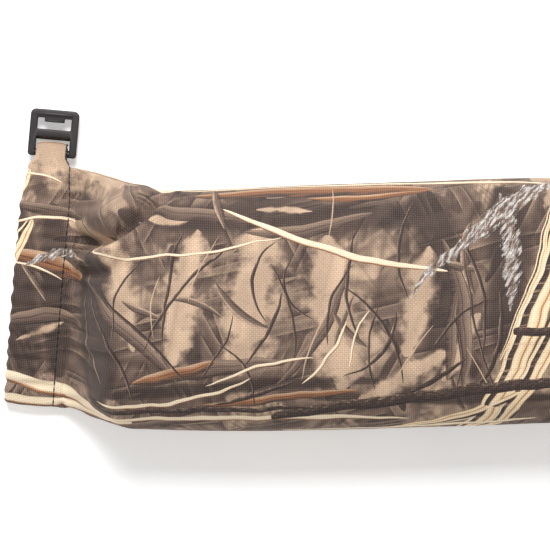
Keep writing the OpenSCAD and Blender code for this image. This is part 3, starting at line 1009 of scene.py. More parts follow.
def sleeve_rows(s):
    """The cloth's outer face as rows of points from the closed end to the hem's raw edge."""
    turns, around, girth = ring_turns(COLUMNS)
    body_y, body_z = section(turns)
    v, z, nv, nz, rim_run, rim_len = rim_line(COLUMNS)
    start_x = core_end(body_y)

    # Body
    t = np.linspace(0, 1, BODY_ROWS)[:, None]
    x = FAR_X + (start_x[None] - FAR_X) * t
    body = np.stack([x, np.broadcast_to(body_y, x.shape), np.broadcast_to(body_z, x.shape)], -1)
    body_uv = np.stack([x, np.broadcast_to(around, x.shape)], -1)

    # Hem: the outer leg, the fold and the turned-in leg, puckered by the elastic
    hem = CASING_W / 2
    share_v = hem_share(v)
    edge = hem * share_v
    pleats, small = hem_pleats(v, rim_run, rim_len)

    def hem_row(u, r, ripple):
        return mouth_points(u * share_v, v + nv * (r + ripple), z + nz * (r + ripple))

    rows, lengths = [], []
    for u in np.linspace(hem - STITCH_IN, -hem + HEM_EDGE_R, HEM_ROWS):
        into = (hem - STITCH_IN - u) / (2 * hem)
        puff = 0.75 * MM * (1 - np.exp(-into * 9)) - 0.55 * MM
        edge_dip = -0.5 * MM * bump(u, -hem + 1.5 * MM, 3 * MM)
        ripple = (s.pucker * (pleats * (0.55 + 0.45 * math.sin(math.pi * min(1, into * 1.4)))
                              + 0.35 * small * math.exp(-into * 8)) + puff + edge_dip)
        rows.append(hem_row(u, RIM_OUT - 0.2 * MM, ripple))
        lengths.append(hem - u)
    middle_r = (RIM_OUT - 0.7 * MM + RIM_IN) / 2
    fold_r = (RIM_OUT - 0.7 * MM - RIM_IN) / 2
    for a in np.linspace(0, math.pi, FOLD_ROWS + 2)[1:-1]:
        u = -hem + HEM_EDGE_R - HEM_EDGE_R * math.sin(a) * (1 + 0.32 * pleats)
        rows.append(hem_row(u, middle_r + fold_r * math.cos(a), s.pucker * pleats * 0.7))
        lengths.append(2 * hem - HEM_EDGE_R + fold_r * a)
    for u in np.linspace(-hem + 1.5 * MM, hem - STITCH_IN, TURN_ROWS):
        rows.append(hem_row(u, RIM_IN, s.pucker * pleats * 0.35))
        lengths.append(2 * hem + (u + hem))
    hem_rows = np.array(rows)

    # Neck: each column leaves the body level, and comes level into the hem's row of stitches
    top = np.clip(np.sin(turns), -1, 1)
    held = np.minimum(v + nv * (RIM_OUT - 0.6 * MM), REACH - NECK_REACH)
    first = mouth_points(edge - STITCH_IN, held, z + nz * (RIM_OUT - 0.75 * MM))
    start = np.stack([start_x, body_y, body_z], -1)
    pull = 22 * MM + 8 * MM * np.clip(top, 0, 1)
    enter = 17 * MM + 8 * MM * np.clip(top, 0, 1)
    t = np.linspace(0, 1, NECK_ROWS + 2)[1:-1, None]
    h00, h10 = 2 * t ** 3 - 3 * t ** 2 + 1, t ** 3 - 2 * t ** 2 + t
    h01, h11 = -2 * t ** 3 + 3 * t ** 2, t ** 3 - t ** 2
    neck = np.empty((NECK_ROWS, COLUMNS, 3))
    out_x = -math.cos(MOUTH_TURN)
    out_y = math.sin(MOUTH_TURN)
    neck[..., 0] = h00 * start[:, 0] - h10 * pull + h01 * first[:, 0] + h11 * enter * out_x
    neck[..., 1] = h00 * start[:, 1] + h01 * first[:, 1] + h11 * enter * out_y
    neck[..., 2] = h00 * start[:, 2] + h01 * first[:, 2]

    # The rows of the neck and the body settle, and the creases are pressed in
    cloth = np.concatenate([settle(body), settle(neck), hem_rows])
    step = np.linalg.norm(np.diff(neck, axis=0, prepend=start[None]), axis=-1)
    reach_u = start_x[None] - np.cumsum(step, axis=0)
    neck_uv = np.stack([reach_u, np.broadcast_to(around, reach_u.shape)], -1)
    base = reach_u[-1].mean() - 0.5 * MM
    hem_u = np.stack([np.full(COLUMNS, base - value) for value in lengths])
    hem_uv = np.stack([hem_u, np.broadcast_to(around, hem_u.shape)], -1)
    blend_in = smooth(np.linspace(0, 1, NECK_ROWS))[:, None]
    neck_uv[..., 0] += blend_in * (base - reach_u[-1])[None]
    uv = np.concatenate([body_uv, neck_uv, hem_uv])
    cloth = press_creases(cloth, s)
    cloth[..., 2] = np.maximum(cloth[..., 2], FLOOR_GAP)
    return cloth, uv, girth


def grid_normals(points):
    """Outward unit normals of a closed grid of rows."""
    along = np.gradient(points, axis=0)
    round_ = np.roll(points, -1, axis=1) - np.roll(points, 1, axis=1)
    n = np.cross(along, round_)
    return n / (np.linalg.norm(n, axis=-1, keepdims=True) + TINY)


# Soft folds: the middle's X and Y in millimetres, the direction in degrees, the width and the height
SOFT_FOLDS = (
    (-150, 12, -34, 4.5, 1.3), (-150, -16, -12, 4.0, 1.0), (-128, 20, -8, 6.0, 0.9),
    (-60, 30, -14, 9.0, 0.8), (10, -18, 12, 10.0, 0.7), (-20, 38, 6, 7.0, 0.6),
    (80, 20, -20, 10.0, 0.7), (-95, -30, 8, 7.0, 0.6),
)


def press_creases(cloth, s):
    """The crease under the flap, and the soft folds that run from the gathers into the body."""
    n = grid_normals(cloth)
    x, y, z = cloth[..., 0], cloth[..., 1], cloth[..., 2]
    upper = smooth((n[..., 2] + 0.15) / 0.5)
    run = (x + 155 * MM) / (40 * MM)
    along = np.clip(run, 0, 1)
    in_neck = smooth(run / 0.12) * smooth((1.12 - run) / 0.22)
    crease_y = (27 + 19 * along - 8.5 * np.sin(math.pi * along) * (1 - 0.35 * along)) * MM
    off = y - crease_y
    valley = bump(off, 0, 2.6 * MM) + 0.35 * bump(off, 2.5 * MM, 5 * MM)
    roll = bump(off, -6.0 * MM, 3.6 * MM)
    flap = bump(off, 9.5 * MM, 5.5 * MM)
    second = bump(off, -11.5 * MM - 4 * MM * along, 2.4 * MM) * smooth((0.75 - run) / 0.3)
    depth = upper * in_neck * s.crease * (-valley + 0.42 * roll + 0.30 * flap - 0.40 * second)
    gather = smooth((x + 159 * MM) / (3 * MM)) * np.exp(-np.clip(x + 156 * MM, 0, 1) / (7 * MM))
    fine = np.sin(y / (0.92 * MM) + 2.2 * np.sin(y / (7 * MM)))
    depth = depth + 0.6 * MM * gather * fine * smooth((54 * MM - y) / (5 * MM))
    for x0, y0, angle, width, high_mm in SOFT_FOLDS:
        a = math.radians(angle)
        du = (x - x0 * MM) * math.cos(a) + (y - y0 * MM) * math.sin(a)
        dv = -(x - x0 * MM) * math.sin(a) + (y - y0 * MM) * math.cos(a)
        wave = np.sin(dv / (width * MM) * 2.2) * bump(dv, 0, 1.4 * width * MM)
        fold = high_mm * MM * wave * bump(du, 14 * MM, 26 * MM)
        depth = depth + fold * upper * smooth((x + 157 * MM) / (6 * MM))
    return cloth + n * depth[..., None]


def relax_cloth(obj, settings, columns):
    """Runs the cloth solver, with pressure for the stuffing inside, then caps how far a point may have
    moved.
    """
    start = coordinates(obj)
    rows = len(start) // columns
    body_end = BODY_ROWS + NECK_ROWS
    hold = obj.vertex_groups.new(name="held")
    row_weight = np.ones(rows)
    free = np.arange(1, body_end - 2)
    row_weight[free] = HOLD
    for k in range(HOLD_RAMP_ROWS):
        value = 1 - (k + 1) / (HOLD_RAMP_ROWS + 1)
        row_weight[1 + k] = max(HOLD, value)
        row_weight[body_end - 3 - k] = max(HOLD, value)
    for r in range(rows):
        hold.add(list(range(r * columns, (r + 1) * columns)), float(row_weight[r]), "REPLACE")
    solver = obj.modifiers.new("Cloth", "CLOTH")
    c = solver.settings
    c.quality = 4
    c.mass = 0.25
    c.tension_stiffness = 22
    c.compression_stiffness = 22
    c.shear_stiffness = 8
    c.bending_stiffness = 0.25
    c.tension_damping = 12
    c.vertex_group_mass = "held"
    c.pin_stiffness = 0.35
    c.shrink_min = -settings.slack
    c.use_pressure = True
    c.uniform_pressure_force = 0.35
    c.effector_weights.gravity = 0.15
    scene = bpy.context.scene
    scene.frame_start = 1
    scene.frame_end = SOLVER_FRAMES
    solver.point_cache.frame_start = 1
    solver.point_cache.frame_end = SOLVER_FRAMES
    for number in range(1, SOLVER_FRAMES + 1):
        scene.frame_set(number)
    apply_modifiers(obj)
    scene.frame_set(1)
    moved = coordinates(obj) - start
    far = np.linalg.norm(moved, axis=1)
    moved *= (np.minimum(far, MOST_MOVED) / (far + TINY))[:, None]
    settled = start + moved
    settled[:, 2] = np.maximum(settled[:, 2], FLOOR_GAP)
    obj.data.vertices.foreach_set("co", settled.ravel())
    obj.data.update()
    obj.vertex_groups.clear()


class BUMPER_OT_materials(bpy.types.Operator):
    """Makes the printed cloth and the finishes of the trim"""

    bl_idname = "bumper.materials"
    bl_label = "Materials"

    def execute(self, context):
        cloth, trim = context.scene.bumper_cloth, context.scene.bumper_trim
        blade = make_blade_group()
        weave = make_weave_group()
        printed = make_print_group(cloth, blade)
        make_cloth_material("marsh_cloth", printed, weave, cloth.weave / MM)
        make_thread_material("black_thread_twist", trim.thread)
        make_plastic_material("black_nylon", trim.plastic)
        make_ribbed_material("webbing_weave", trim.webbing, weave, 1.1)
        make_ribbed_material("elastic_rib", trim.elastic, weave, 0.9)
        make_ribbed_material("piping_cover", trim.piping, weave, cloth.weave / MM)
        make_soft_material("closed_cell_foam", trim.foam, 700.0, 0.15 * MM)
        make_soft_material("wadding_fibre", trim.wadding, 260.0, 0.5 * MM)
        return {"FINISHED"}


class BUMPER_OT_sleeve(bpy.types.Operator):
    """Makes the cloth sleeve with its neck and gathered hem"""

    bl_idname = "bumper.sleeve"
    bl_label = "Sleeve"

    def execute(self, context):
        settings = context.scene.bumper_cloth
        rows, uv, girth = sleeve_rows(settings)
        obj = new_object("sleeve_cloth", rows.reshape(-1, 3), grid_faces(len(rows), COLUMNS))
        relax_cloth(obj, settings, COLUMNS)
        seam_safe_uv(obj, uv, girth)
        thicken(obj, settings.thickness, -1.0)
        place(obj, "marsh_cloth", "bumper", "camouflage_cloth", "sleeve")
        return {"FINISHED"}


def sleeve_grid():
    """The finished sleeve's outer face as rows of points, and its outward directions."""
    cloth = coordinates(bpy.data.objects["sleeve_cloth"])
    rows = BODY_ROWS + NECK_ROWS + HEM_ROWS + FOLD_ROWS + TURN_ROWS
    grid = cloth[:rows * COLUMNS].reshape(rows, COLUMNS, 3)
    return grid, grid_normals(grid)


def sleeve_line(row):
    """One row of the finished sleeve, and its outward directions."""
    grid, normals = sleeve_grid()
    return grid[row], normals[row]


def loft(name, rings, uv=None):
    """A closed skin over rings that all have the same number of points."""
    rings = np.asarray(rings)
    rows, columns = rings.shape[:2]
    faces = grid_faces(rows, columns).tolist()
    faces.append(list(range(columns)))
    faces.append(list(range((rows - 1) * columns, rows * columns))[::-1])
    obj = new_object(name, rings.reshape(-1, 3), faces, uv=uv)
    outward(obj)
    return obj


def outward(obj, weld=0.0):
    """Turns all of a closed mesh's faces outwards, once its points nearer than weld are joined."""
    work = bmesh.new()
    work.from_mesh(obj.data)
    if weld:
        bmesh.ops.remove_doubles(work, verts=work.verts, dist=weld)
    bmesh.ops.recalc_face_normals(work, faces=work.faces)
    work.to_mesh(obj.data)
    work.free()


def band(name, rings, uv=None):
    """A closed band of rings, the last of which is joined to the first."""
    rings = np.asarray(rings)
    rows, columns = rings.shape[:2]
    faces = grid_faces(rows + 1, columns) % (rows * columns)
    obj = new_object(name, rings.reshape(-1, 3), faces, uv=uv)
    outward(obj)
    return obj


class BUMPER_OT_elastic(bpy.types.Operator):
    """Makes the flat elastic that runs round the mouth inside the hem"""

    bl_idname = "bumper.elastic"
    bl_label = "Elastic"

    def execute(self, context):
        settings = context.scene.bumper_cloth
        v, z, nv, nz, run, whole = rim_line(COLUMNS)
        share_v = hem_share(v)
        pleats = settings.pucker * 0.5 * hem_pleats(v, run, whole)[0]
        near, far = -8.4 * MM, 7.4 * MM
        inner, outer = 2.80 * MM, 3.45 * MM
        ribs = 16
        rings, uv = [], []
        across = np.linspace(near, far, 2 * ribs + 1)
        for side, r in ((1, outer), (-1, inner)):
            for k, u in enumerate(across[::side]):
                rib = 0.10 * MM * (k % 2) * side
                out = r + rib + pleats
                rings.append(mouth_points(u * share_v, v + nv * out, z + nz * out))
                uv.append(np.stack([run, np.full(COLUMNS, u)], -1))
        obj = band("hem_elastic", rings, np.array(uv).reshape(-1, 2))
        place(obj, "elastic_rib", "bumper", "elastic", "elastic_band")
        return {"FINISHED"}


class BUMPER_OT_hem_stitches(bpy.types.Operator):
    """Sews the row of black lockstitches that closes the hem"""

    bl_idname = "bumper.hem_stitches"
    bl_label = "Hem Stitches"

    def execute(self, context):
        trim = context.scene.bumper_trim
        line, normals = sleeve_line(BODY_ROWS + NECK_ROWS)
        sew("hem_stitches", stitch_paths(line, normals, trim.stitch, 0.22 * MM), trim.thread_d,
            "casing_stitches")
        return {"FINISHED"}


# The ladder lock, in its own frame: millimetres from the bar's axis, with the strap's end up
LOCK_HALF = 9.8
LEG_W = 3.0
LOCK_TOP = 17.4
GRIP_Y = (6.4, 9.4)
SLOT_TOP = 14.0
CATCH_HALF = 4.0
CATCH_Y = 12.4
LOCK_T = 3.2
BAR_R = 1.5
TOOTH_R = 0.40
PLATE_EDGE = 0.45


def rounded(corners, steps=6):
    """A closed outline through corners given as (x, y, radius), each rounded by its radius."""
    points = []
    count = len(corners)
    for k, (x, y, r) in enumerate(corners):
        here = np.array([x, y], dtype=float)
        before = np.array(corners[k - 1][:2], dtype=float) - here
        after = np.array(corners[(k + 1) % count][:2], dtype=float) - here
        before, after = before / np.linalg.norm(before), after / np.linalg.norm(after)
        half = math.acos(max(-1.0, min(1.0, float(before @ after)))) / 2
        reach = r / math.tan(half)
        middle = (before + after) / np.linalg.norm(before + after)
        centre = here + middle * r / math.sin(half)
        start, end = here + before * reach - centre, here + after * reach - centre
        turn = math.atan2(start[0] * end[1] - start[1] * end[0], float(start @ end))
        for t in np.linspace(0, turn, steps):
            c, d = math.cos(t), math.sin(t)
            points.append(centre + np.array([c * start[0] - d * start[1], d * start[0] + c * start[1]]))
    return points


def plate(name, outlines, thickness, edge):
    """A moulded plate with holes: its outlines in millimetres, and all its edges rounded."""
    curve = bpy.data.curves.new(name, "CURVE")
    curve.dimensions = "2D"
    curve.fill_mode = "BOTH"
    curve.extrude = (thickness / 2 - edge) * MM
    curve.bevel_depth = edge * MM
    curve.bevel_resolution = 3
    curve.offset = -edge * MM
    for outline in outlines:
        spline = curve.splines.new("POLY")
        spline.points.add(len(outline) - 1)
        for point, (x, y) in zip(spline.points, outline):
            point.co = (x * MM, y * MM, 0, 1)
        spline.use_cyclic_u = True
    temp = bpy.data.objects.new(name, curve)
    bpy.context.scene.collection.objects.link(temp)
    mesh = bpy.data.meshes.new_from_object(temp.evaluated_get(bpy.context.evaluated_depsgraph_get()))
    bpy.data.objects.remove(temp)
    obj = bpy.data.objects.new(name, mesh)
    bpy.context.scene.collection.objects.link(obj)
    outward(obj, weld=0.005 * MM)
    return obj


def moulded_rod(name, half_l, y, z, r, flat=1.0, sides=28):
    """A round rib along the bar's direction, with domed ends."""
    turn = np.linspace(0, 2 * math.pi, sides, endpoint=False)
    rings = []
    for t, grow in (
            (-1, 0.45), (-0.985, 0.8), (-0.96, 1.0), (0, 1.0), (0.96, 1.0), (0.985, 0.8), (1, 0.45)):
        ring = np.stack([np.full(sides, t * half_l), y + grow * r * np.cos(turn),
                         z + flat * grow * r * np.sin(turn)], -1)
        rings.append(ring * MM)
    return loft(name, rings)


def join(pieces, name):
    """One object from several."""
    target = pieces[0]
    with bpy.context.temp_override(active_object=target, object=target, selected_objects=pieces,
                                   selected_editable_objects=pieces):
        bpy.ops.object.join()
    target.name = name
    return target


class BUMPER_OT_buckle(bpy.types.Operator):
    """Moulds the ladder lock whose bar lies inside the hem"""

    bl_idname = "bumper.buckle"
    bl_label = "Ladder Lock"

    def execute(self, context):
        inner = LOCK_HALF - LEG_W
        foot = LEG_W / 2
        outer_line = rounded([
            (-LOCK_HALF, -foot, 1.3), (-LOCK_HALF, LOCK_TOP, 2.2), (LOCK_HALF, LOCK_TOP, 2.2),
            (LOCK_HALF, -foot, 1.3), (inner, -foot, 1.3), (inner, GRIP_Y[0], 0.6), (-inner, GRIP_Y[0], 0.6),
            (-inner, -foot, 1.3)], 8)
        hole = rounded([
            (-inner, GRIP_Y[1], 0.5), (inner, GRIP_Y[1], 0.5), (inner, SLOT_TOP, 0.4),
            (CATCH_HALF, SLOT_TOP, 0.3), (CATCH_HALF, CATCH_Y, 0.4), (-CATCH_HALF, CATCH_Y, 0.4),
            (-CATCH_HALF, SLOT_TOP, 0.3), (-inner, SLOT_TOP, 0.4)], 5)
        frame_plate = plate("buckle_plate", (outer_line, hole), LOCK_T, PLATE_EDGE)
        top = LOCK_T / 2
        ribs = [
            moulded_rod("bar", LOCK_HALF - foot, 0, 0, BAR_R),
            moulded_rod("lip", LOCK_HALF - 2.4, LOCK_TOP - 1.9, top - 0.05, 0.75, 0.5),
            moulded_rod("tooth_a", inner, GRIP_Y[0] + 0.75, -top, TOOTH_R),
            moulded_rod("tooth_b", inner, GRIP_Y[0] + 2.25, -top, TOOTH_R),
            moulded_rod("catch_lip", CATCH_HALF - 0.5, CATCH_Y + 0.45, top - 0.05, 0.35, 0.6),
        ]
        shelf = [(6.7, -0.1), (6.3, -0.1), (5.35, -1.0), (5.35, -top), (6.7, -top)]
        ribs.append(loft("shelf", [[np.array((x, y, z)) * MM for y, z in shelf]
                                   for x in np.linspace(-inner - 0.2, inner + 0.2, 3)]))
        obj = join([frame_plate, *ribs], "buckle_frame")
        obj.data.shade_smooth()
        edge = obj.modifiers.new("Crisp", "EDGE_SPLIT")
        edge.split_angle = math.radians(50)
        apply_modifiers(obj)
        local = coordinates(obj)
        c, d = math.cos(MOUTH_TURN), math.sin(MOUTH_TURN)
        turned = np.stack([local[:, 0] * c + local[:, 1] * d, -local[:, 0] * d + local[:, 1] * c,
                           local[:, 2]], 1)
        obj.data.vertices.foreach_set("co", (turned + BAR).ravel())
        obj.data.update()
        place(obj, "black_nylon", "buckle", "black_plastic", "ladder_lock")
        return {"FINISHED"}


# How deep the wadding and the foam lie under the sleeve's outside
WADDING_OUT = 2.6 * MM
WADDING_IN = 5.9 * MM
FOAM_OUT = 6.3 * MM
FOAM_ROUND = 4 * MM
LIP_IN = 5 * MM
FOAM_IN = 9 * MM


class BUMPER_OT_filling(bpy.types.Operator):
    """Makes the foam block and the wadding that is rolled round it"""

    bl_idname = "bumper.filling"
    bl_label = "Filling"

    def execute(self, context):
        columns = 96
        turns = ring_turns(columns)[0]
        far = CORE_FAR
        y, z = section(turns)
        near = core_end(y) + 3 * MM + 12 * MM * smooth((y - 12 * MM) / (22 * MM))
        lumps = 0.35 * MM * (np.sin(7 * turns) + np.sin(13 * turns + 1.0))

        def ring(depth, x):
            yy, zz = section(turns, depth)
            return settle(np.stack([np.broadcast_to(x, yy.shape), yy, zz], -1))

        outer_rows = [ring(WADDING_OUT + 0.25 * MM * (1 + np.sin(9 * t * math.pi) * np.sin(5 * turns)),
                           far + (near + LIP_IN - far) * t) for t in np.linspace(0, 1, 40)]
        lip_rows = [ring(WADDING_OUT + 0.6 * MM + 1.9 * MM * (1 - math.cos(a)),
                         near + LIP_IN - (4.6 * MM + lumps) * math.sin(a))
                    for a in np.linspace(0.25, math.pi / 2, 7)]
        inner_rows = [ring(WADDING_IN, x) for x in (near + 1.5 * MM, near + 8 * MM, far)]
        wadding = band("wadding_roll", outer_rows + lip_rows + inner_rows)
        place(wadding, "wadding_fibre", "bumper", "wadding", "wadding_wrap")

        foam_rows = [ring(FOAM_OUT, far + (near + FOAM_IN - far) * t) for t in np.linspace(0, 1, 24)]
        for a in np.linspace(0.2, math.pi / 2, 6):
            foam_rows.append(ring(FOAM_OUT + FOAM_ROUND * (1 - math.cos(a)),
                                  near + FOAM_IN - FOAM_ROUND * math.sin(a)))
        foam = loft("foam_block", foam_rows)
        place(foam, "closed_cell_foam", "bumper", "foam", "foam_core")
        return {"FINISHED"}


class BUMPER_OT_closed_end(bpy.types.Operator):
    """Makes the closed end: its crowned panel, the piping round it and the row of stitches"""

    bl_idname = "bumper.closed_end"
    bl_label = "Closed End"

    def execute(self, context):
        trim, cloth = context.scene.bumper_trim, context.scene.bumper_cloth
        columns = 192
        turns, around, girth = ring_turns(columns)
        edge = PIPING_D - 1.2 * MM
        y, z = section(turns, edge)
        rings, uv = [], []
        for f in np.concatenate([np.linspace(1, 0.1, 22), [0.0]]):
            crown = 1.3 * MM * (1 - f ** 4)
            pull = 0.22 * MM * f ** 6 * np.sin(around / girth * 2 * math.pi * 38 + np.sin(turns * 5))
            ring_y, ring_z = y * f, MID_Z + (z - MID_Z) * f
            rings.append(np.stack([PANEL_X - 0.4 * MM + crown + pull, ring_y, ring_z], -1))
            uv.append(np.stack([ring_z - 60 * MM, ring_y], -1))
        panel = new_object("closed_end_panel", np.array(rings).reshape(-1, 3),
                           grid_faces(len(rings), columns), np.array(uv).reshape(-1, 2))
        outward(panel, weld=0.002 * MM)
        thicken(panel, cloth.thickness, 0.0)
        place(panel, "marsh_cloth", "bumper", "camouflage_cloth", "end_panel")

        sides = 20
        pipe_r = PIPING_D / 2
        rings, uv = [], []
        ripple = 0.07 * MM * np.sin(around / (1.35 * MM))
        for a in np.linspace(0, 2 * math.pi, sides, endpoint=False):
            yy, zz = section(turns, pipe_r - (pipe_r + ripple) * math.cos(a))
            x = (PANEL_X + (pipe_r + ripple) * math.sin(a)) * np.ones(columns)
            rings.append(np.stack([x, yy, np.maximum(zz, 0.02 * MM)], -1))
            uv.append(np.stack([around, np.full(columns, pipe_r * a)], -1))
        pipe = band("closed_end_piping", rings, np.array(uv).reshape(-1, 2))
        place(pipe, "piping_cover", "bumper", "piping_cloth", "end_piping")

        line, normals = sleeve_line(1)
        sew("closed_end_stitches", stitch_paths(line, normals, trim.stitch, 0.2 * MM), trim.thread_d,
            "end_stitches")
        return {"FINISHED"}


SEAM_TURNS = (205.7, 218.6)


class BUMPER_OT_long_seam(bpy.types.Operator):
    """Folds and sews the felled seam that closes the sleeve into a tube"""

    bl_idname = "bumper.long_seam"
    bl_label = "Long Seam"

    def execute(self, context):
        trim = context.scene.bumper_trim
        turns = np.degrees(ring_turns(COLUMNS)[0])
        first, last = (float(np.interp(t, turns, np.arange(COLUMNS))) for t in SEAM_TURNS)
        grid, normals = sleeve_grid()
        rows = slice(2, BODY_ROWS - 2)
        steps = 11

        def strip(t):
            at = first + (last - first) * t
            low_i, part = int(at), at - int(at)
            point = grid[rows, low_i] * (1 - part) + grid[rows, low_i + 1] * part
            out = normals[rows, low_i] * (1 - part) + normals[rows, low_i + 1] * part
            return point, out

        lines, uv = [], []
        for k in range(steps):
            t = k / (steps - 1)
            point, out = strip(t)
            height = 0.75 * MM * (1 - abs(2 * t - 1) ** 6) - 0.25 * MM
            pucker = 0.10 * MM * np.sin(point[:, 0] / (1.45 * MM) * math.pi + 3 * t)
            lines.append(point + out * (height + pucker)[:, None])
            uv.append(np.stack([point[:, 0] + 31 * MM, np.full(len(point), t * 8 * MM + 20 * MM)], -1))
        top = np.array(lines).transpose(1, 0, 2)
        obj = new_object("seam_strip", top.reshape(-1, 3), grid_faces(len(top), steps, closed=False),
                         np.array(uv).transpose(1, 0, 2).reshape(-1, 2))
        thicken(obj, 0.5 * MM, -1.0)
        outward(obj)
        place(obj, "marsh_cloth", "bumper", "camouflage_cloth", "long_seam")

        paths = []
        for t in (0.16, 0.40):
            point, out = strip(t)
            paths += stitch_paths(point + out * 0.5 * MM, out, trim.stitch, 0.2 * MM, closed=False)
        sew("seam_stitches", paths, trim.thread_d, "long_seam_stitches")
        return {"FINISHED"}


WEBBING_T = 1.3 * MM
EYE_R = 6.0 * MM
EYE_IN = 7.4 * MM
EYE_TO_STEM = 8.6 * MM
STEM_GAP = 0.08 * MM


class BUMPER_OT_webbing(bpy.types.Operator):
    """Folds the webbing loop of the closed end and sews its tails"""

    bl_idname = "bumper.webbing"
    bl_label = "Webbing Loop"

    def execute(self, context):
        trim = context.scene.bumper_trim
        low_p, high_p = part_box("end_loop")
        thick = WEBBING_T
        width = high_p[2] - low_p[2]
        middle = np.array([high_p[0] - EYE_IN, (low_p[1] + high_p[1]) / 2, (low_p[2] + high_p[2]) / 2])
        r = EYE_R + thick / 2
        inside = low_p[0] + thick / 2
        apex = middle[0] - EYE_TO_STEM
        tail = (high_p[1] - low_p[1]) / 2 - 0.2 * MM
        half = thick / 2 + STEM_GAP
        lean = math.radians(48)
        side = [(inside, tail), (inside, half + 1.2 * MM), (inside + 0.5 * MM, half + 0.35 * MM),
                (inside + 1.4 * MM, half), (apex + 0.2 * MM, half)]
        arc = [(middle[0] - r * math.cos(a), r * math.sin(a)) for a in np.linspace(lean, math.pi, 16)]
        upper = np.array(side + arc)
        path = np.concatenate([upper, upper[-2::-1] * [1, -1]])
        path = smooth_path(path, 90)
        along = np.gradient(path, axis=0)
        along /= np.linalg.norm(along, axis=1)[:, None]
        out = np.stack([along[:, 1], -along[:, 0]], 1)
        run = np.concatenate([[0], np.cumsum(np.linalg.norm(np.diff(path, axis=0), axis=1))])
        upper_cut = [(-0.5, 0.25), (-0.49, 0.42), (-0.47, 0.5), (-0.2, 0.5), (0.2, 0.5), (0.47, 0.5),
                     (0.49, 0.42), (0.5, 0.25)]
        cut = upper_cut + [(-a, -b) for a, b in upper_cut]
        rings, uv = [], []
        for p, n, s in zip(path, out, run):
            ring = [(p[0] + n[0] * b * thick, middle[1] + p[1] + n[1] * b * thick, middle[2] + a * width)
                    for a, b in cut]
            rings.append(ring)
            uv.append([(s, a * width) for a, b in cut])
        obj = loft("webbing_eye", rings, np.array(uv).reshape(-1, 2))
        place(obj, "webbing_weave", "bumper", "webbing", "end_loop")

        face_x = PANEL_X + 1.15 * MM
        paths = []
        for turn in (-1, 1):
            for row in (0.25, 0.75):
                y = middle[1] + turn * (1.5 * MM + row * 8 * MM)
                line = np.array([(face_x, y, middle[2] + t * width * 0.46) for t in np.linspace(-1, 1, 8)])
                normal = np.tile([1.0, 0.0, 0.0], (8, 1))
                paths += stitch_paths(line, normal, trim.stitch, 0.2 * MM, closed=False)
        sew("webbing_stitches", paths, trim.thread_d, "loop_stitches")
        return {"FINISHED"}


def smooth_path(points, count):
    """An even path of count points through corner points, with its corners eased."""
    p = np.asarray(points, dtype=float)
    for _ in range(3):
        q = np.empty((2 * len(p) - 2, p.shape[1]))
        q[0::2] = 0.75 * p[:-1] + 0.25 * p[1:]
        q[1::2] = 0.25 * p[:-1] + 0.75 * p[1:]
        p = np.concatenate([p[:1], q, p[-1:]])
    run = np.concatenate([[0], np.cumsum(np.linalg.norm(np.diff(p, axis=0), axis=1))])
    at = np.linspace(0, run[-1], count)
    return np.stack([np.interp(at, run, p[:, k]) for k in range(p.shape[1])], 1)


# Lamps: the place from the middle of the view, the size and the power
LAMPS = {
    "key_light": ((-0.10, 0.75, 1.15), 0.5, 19.0),
    "fill_light": ((-0.9, -0.35, 1.0), 0.9, 2.0),
}
ROOM_LIGHT = 0.46
FLOOR_HALF = 3.0
LENS_TO_VIEW = 0.015


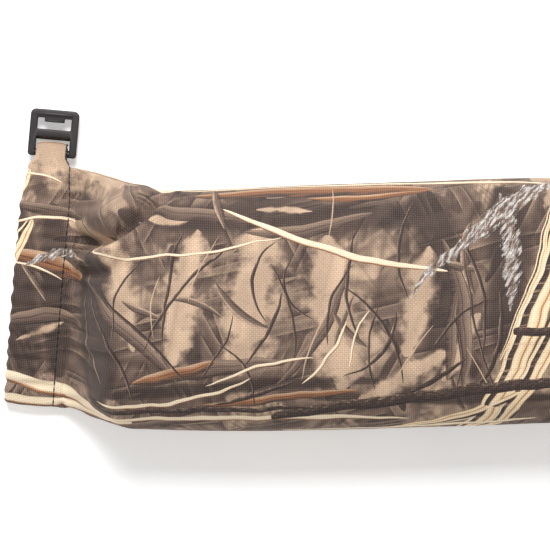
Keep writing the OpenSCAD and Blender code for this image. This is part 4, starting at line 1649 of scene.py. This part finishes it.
class BUMPER_OT_stage(bpy.types.Operator):
    """Sets the floor, the soft light and the camera that looks straight down"""

    bl_idname = "bumper.stage"
    bl_label = "Stage"

    def execute(self, context):
        s = context.scene.bumper_stage
        corners = [(x * FLOOR_HALF, y * FLOOR_HALF, 0) for x, y in ((-1, -1), (1, -1), (1, 1), (-1, 1))]
        floor = new_object("floor", corners, [(0, 1, 2, 3)], smooth_faces=False)
        material, w, shader = new_material("floor_paper", roughness=0.9, specular=0.1)
        spot = w.noise(w.here(), 30.0, 2.0)
        pale = tuple(s.floor)
        w.feed(shader.inputs["Base Color"],
               w.mix(w.ease(spot, 0.3, 0.7), pale, tuple(c * 0.99 for c in pale)))
        shader.inputs["Emission Color"].default_value = (1.0, 1.0, 1.0, 1.0)
        shader.inputs["Emission Strength"].default_value = s.floor_glow
        floor.data.materials.append(material)

        context.scene.view_settings.view_transform = "Standard"
        world = bpy.data.worlds.new("studio")
        world.use_nodes = True
        sky = world.node_tree.nodes["Background"]
        sky.inputs["Color"].default_value = (1.0, 0.99, 0.98, 1)
        sky.inputs["Strength"].default_value = ROOM_LIGHT
        context.scene.world = world

        middle = np.array([s.view_x, s.view_y, 0.0])
        for name, (offset, size, power) in LAMPS.items():
            light = bpy.data.lights.new(name, "AREA")
            light.shape = "SQUARE"
            light.size = size
            light.energy = power
            lamp = bpy.data.objects.new(name, light)
            context.scene.collection.objects.link(lamp)
            spot_at = middle + np.array(offset)
            lamp.location = spot_at
            aim = middle - spot_at
            tilt = math.atan2(math.hypot(aim[0], aim[1]), -aim[2])
            lamp.rotation_euler = (tilt, 0, math.atan2(aim[1], aim[0]) - math.pi / 2)

        camera = bpy.data.cameras.new("camera")
        camera.sensor_width = 36.0
        camera.lens = camera.sensor_width * s.camera_h / s.view_w
        camera.clip_start = 0.01
        camera_obj = bpy.data.objects.new("camera", camera)
        camera_obj.location = (s.view_x, s.view_y, s.camera_h + LENS_TO_VIEW)
        context.scene.collection.objects.link(camera_obj)
        context.scene.camera = camera_obj
        return {"FINISHED"}


class BUMPER_PT_panel(bpy.types.Panel):
    """Lists the pieces in the sidebar"""

    bl_idname = "BUMPER_PT_panel"
    bl_label = "Training Bumper"
    bl_space_type = "VIEW_3D"
    bl_region_type = "UI"
    bl_category = "Bumper"

    def draw(self, context):
        for operator in OPERATORS:
            self.layout.operator(operator.bl_idname)


OPERATORS = (
    BUMPER_OT_stage,
    BUMPER_OT_materials,
    BUMPER_OT_sleeve,
    BUMPER_OT_elastic,
    BUMPER_OT_hem_stitches,
    BUMPER_OT_buckle,
    BUMPER_OT_filling,
    BUMPER_OT_closed_end,
    BUMPER_OT_long_seam,
    BUMPER_OT_webbing,
)
GROUPS = {
    "bumper_cloth": BUMPER_PG_cloth,
    "bumper_trim": BUMPER_PG_trim,
    "bumper_stage": BUMPER_PG_stage,
}


def register():
    for group in GROUPS.values():
        bpy.utils.register_class(group)
    for operator in OPERATORS:
        bpy.utils.register_class(operator)
    bpy.utils.register_class(BUMPER_PT_panel)
    for name, group in GROUPS.items():
        setattr(bpy.types.Scene, name, bpy.props.PointerProperty(type=group))


def unregister():
    for name in GROUPS:
        delattr(bpy.types.Scene, name)
    bpy.utils.unregister_class(BUMPER_PT_panel)
    for operator in reversed(OPERATORS):
        bpy.utils.unregister_class(operator)
    for group in GROUPS.values():
        bpy.utils.unregister_class(group)


def main():
    """Makes every piece in order."""
    register()
    for operator in OPERATORS:
        folder, name = operator.bl_idname.split(".")
        getattr(getattr(bpy.ops, folder), name)()


if __name__ == "__main__":
    main()
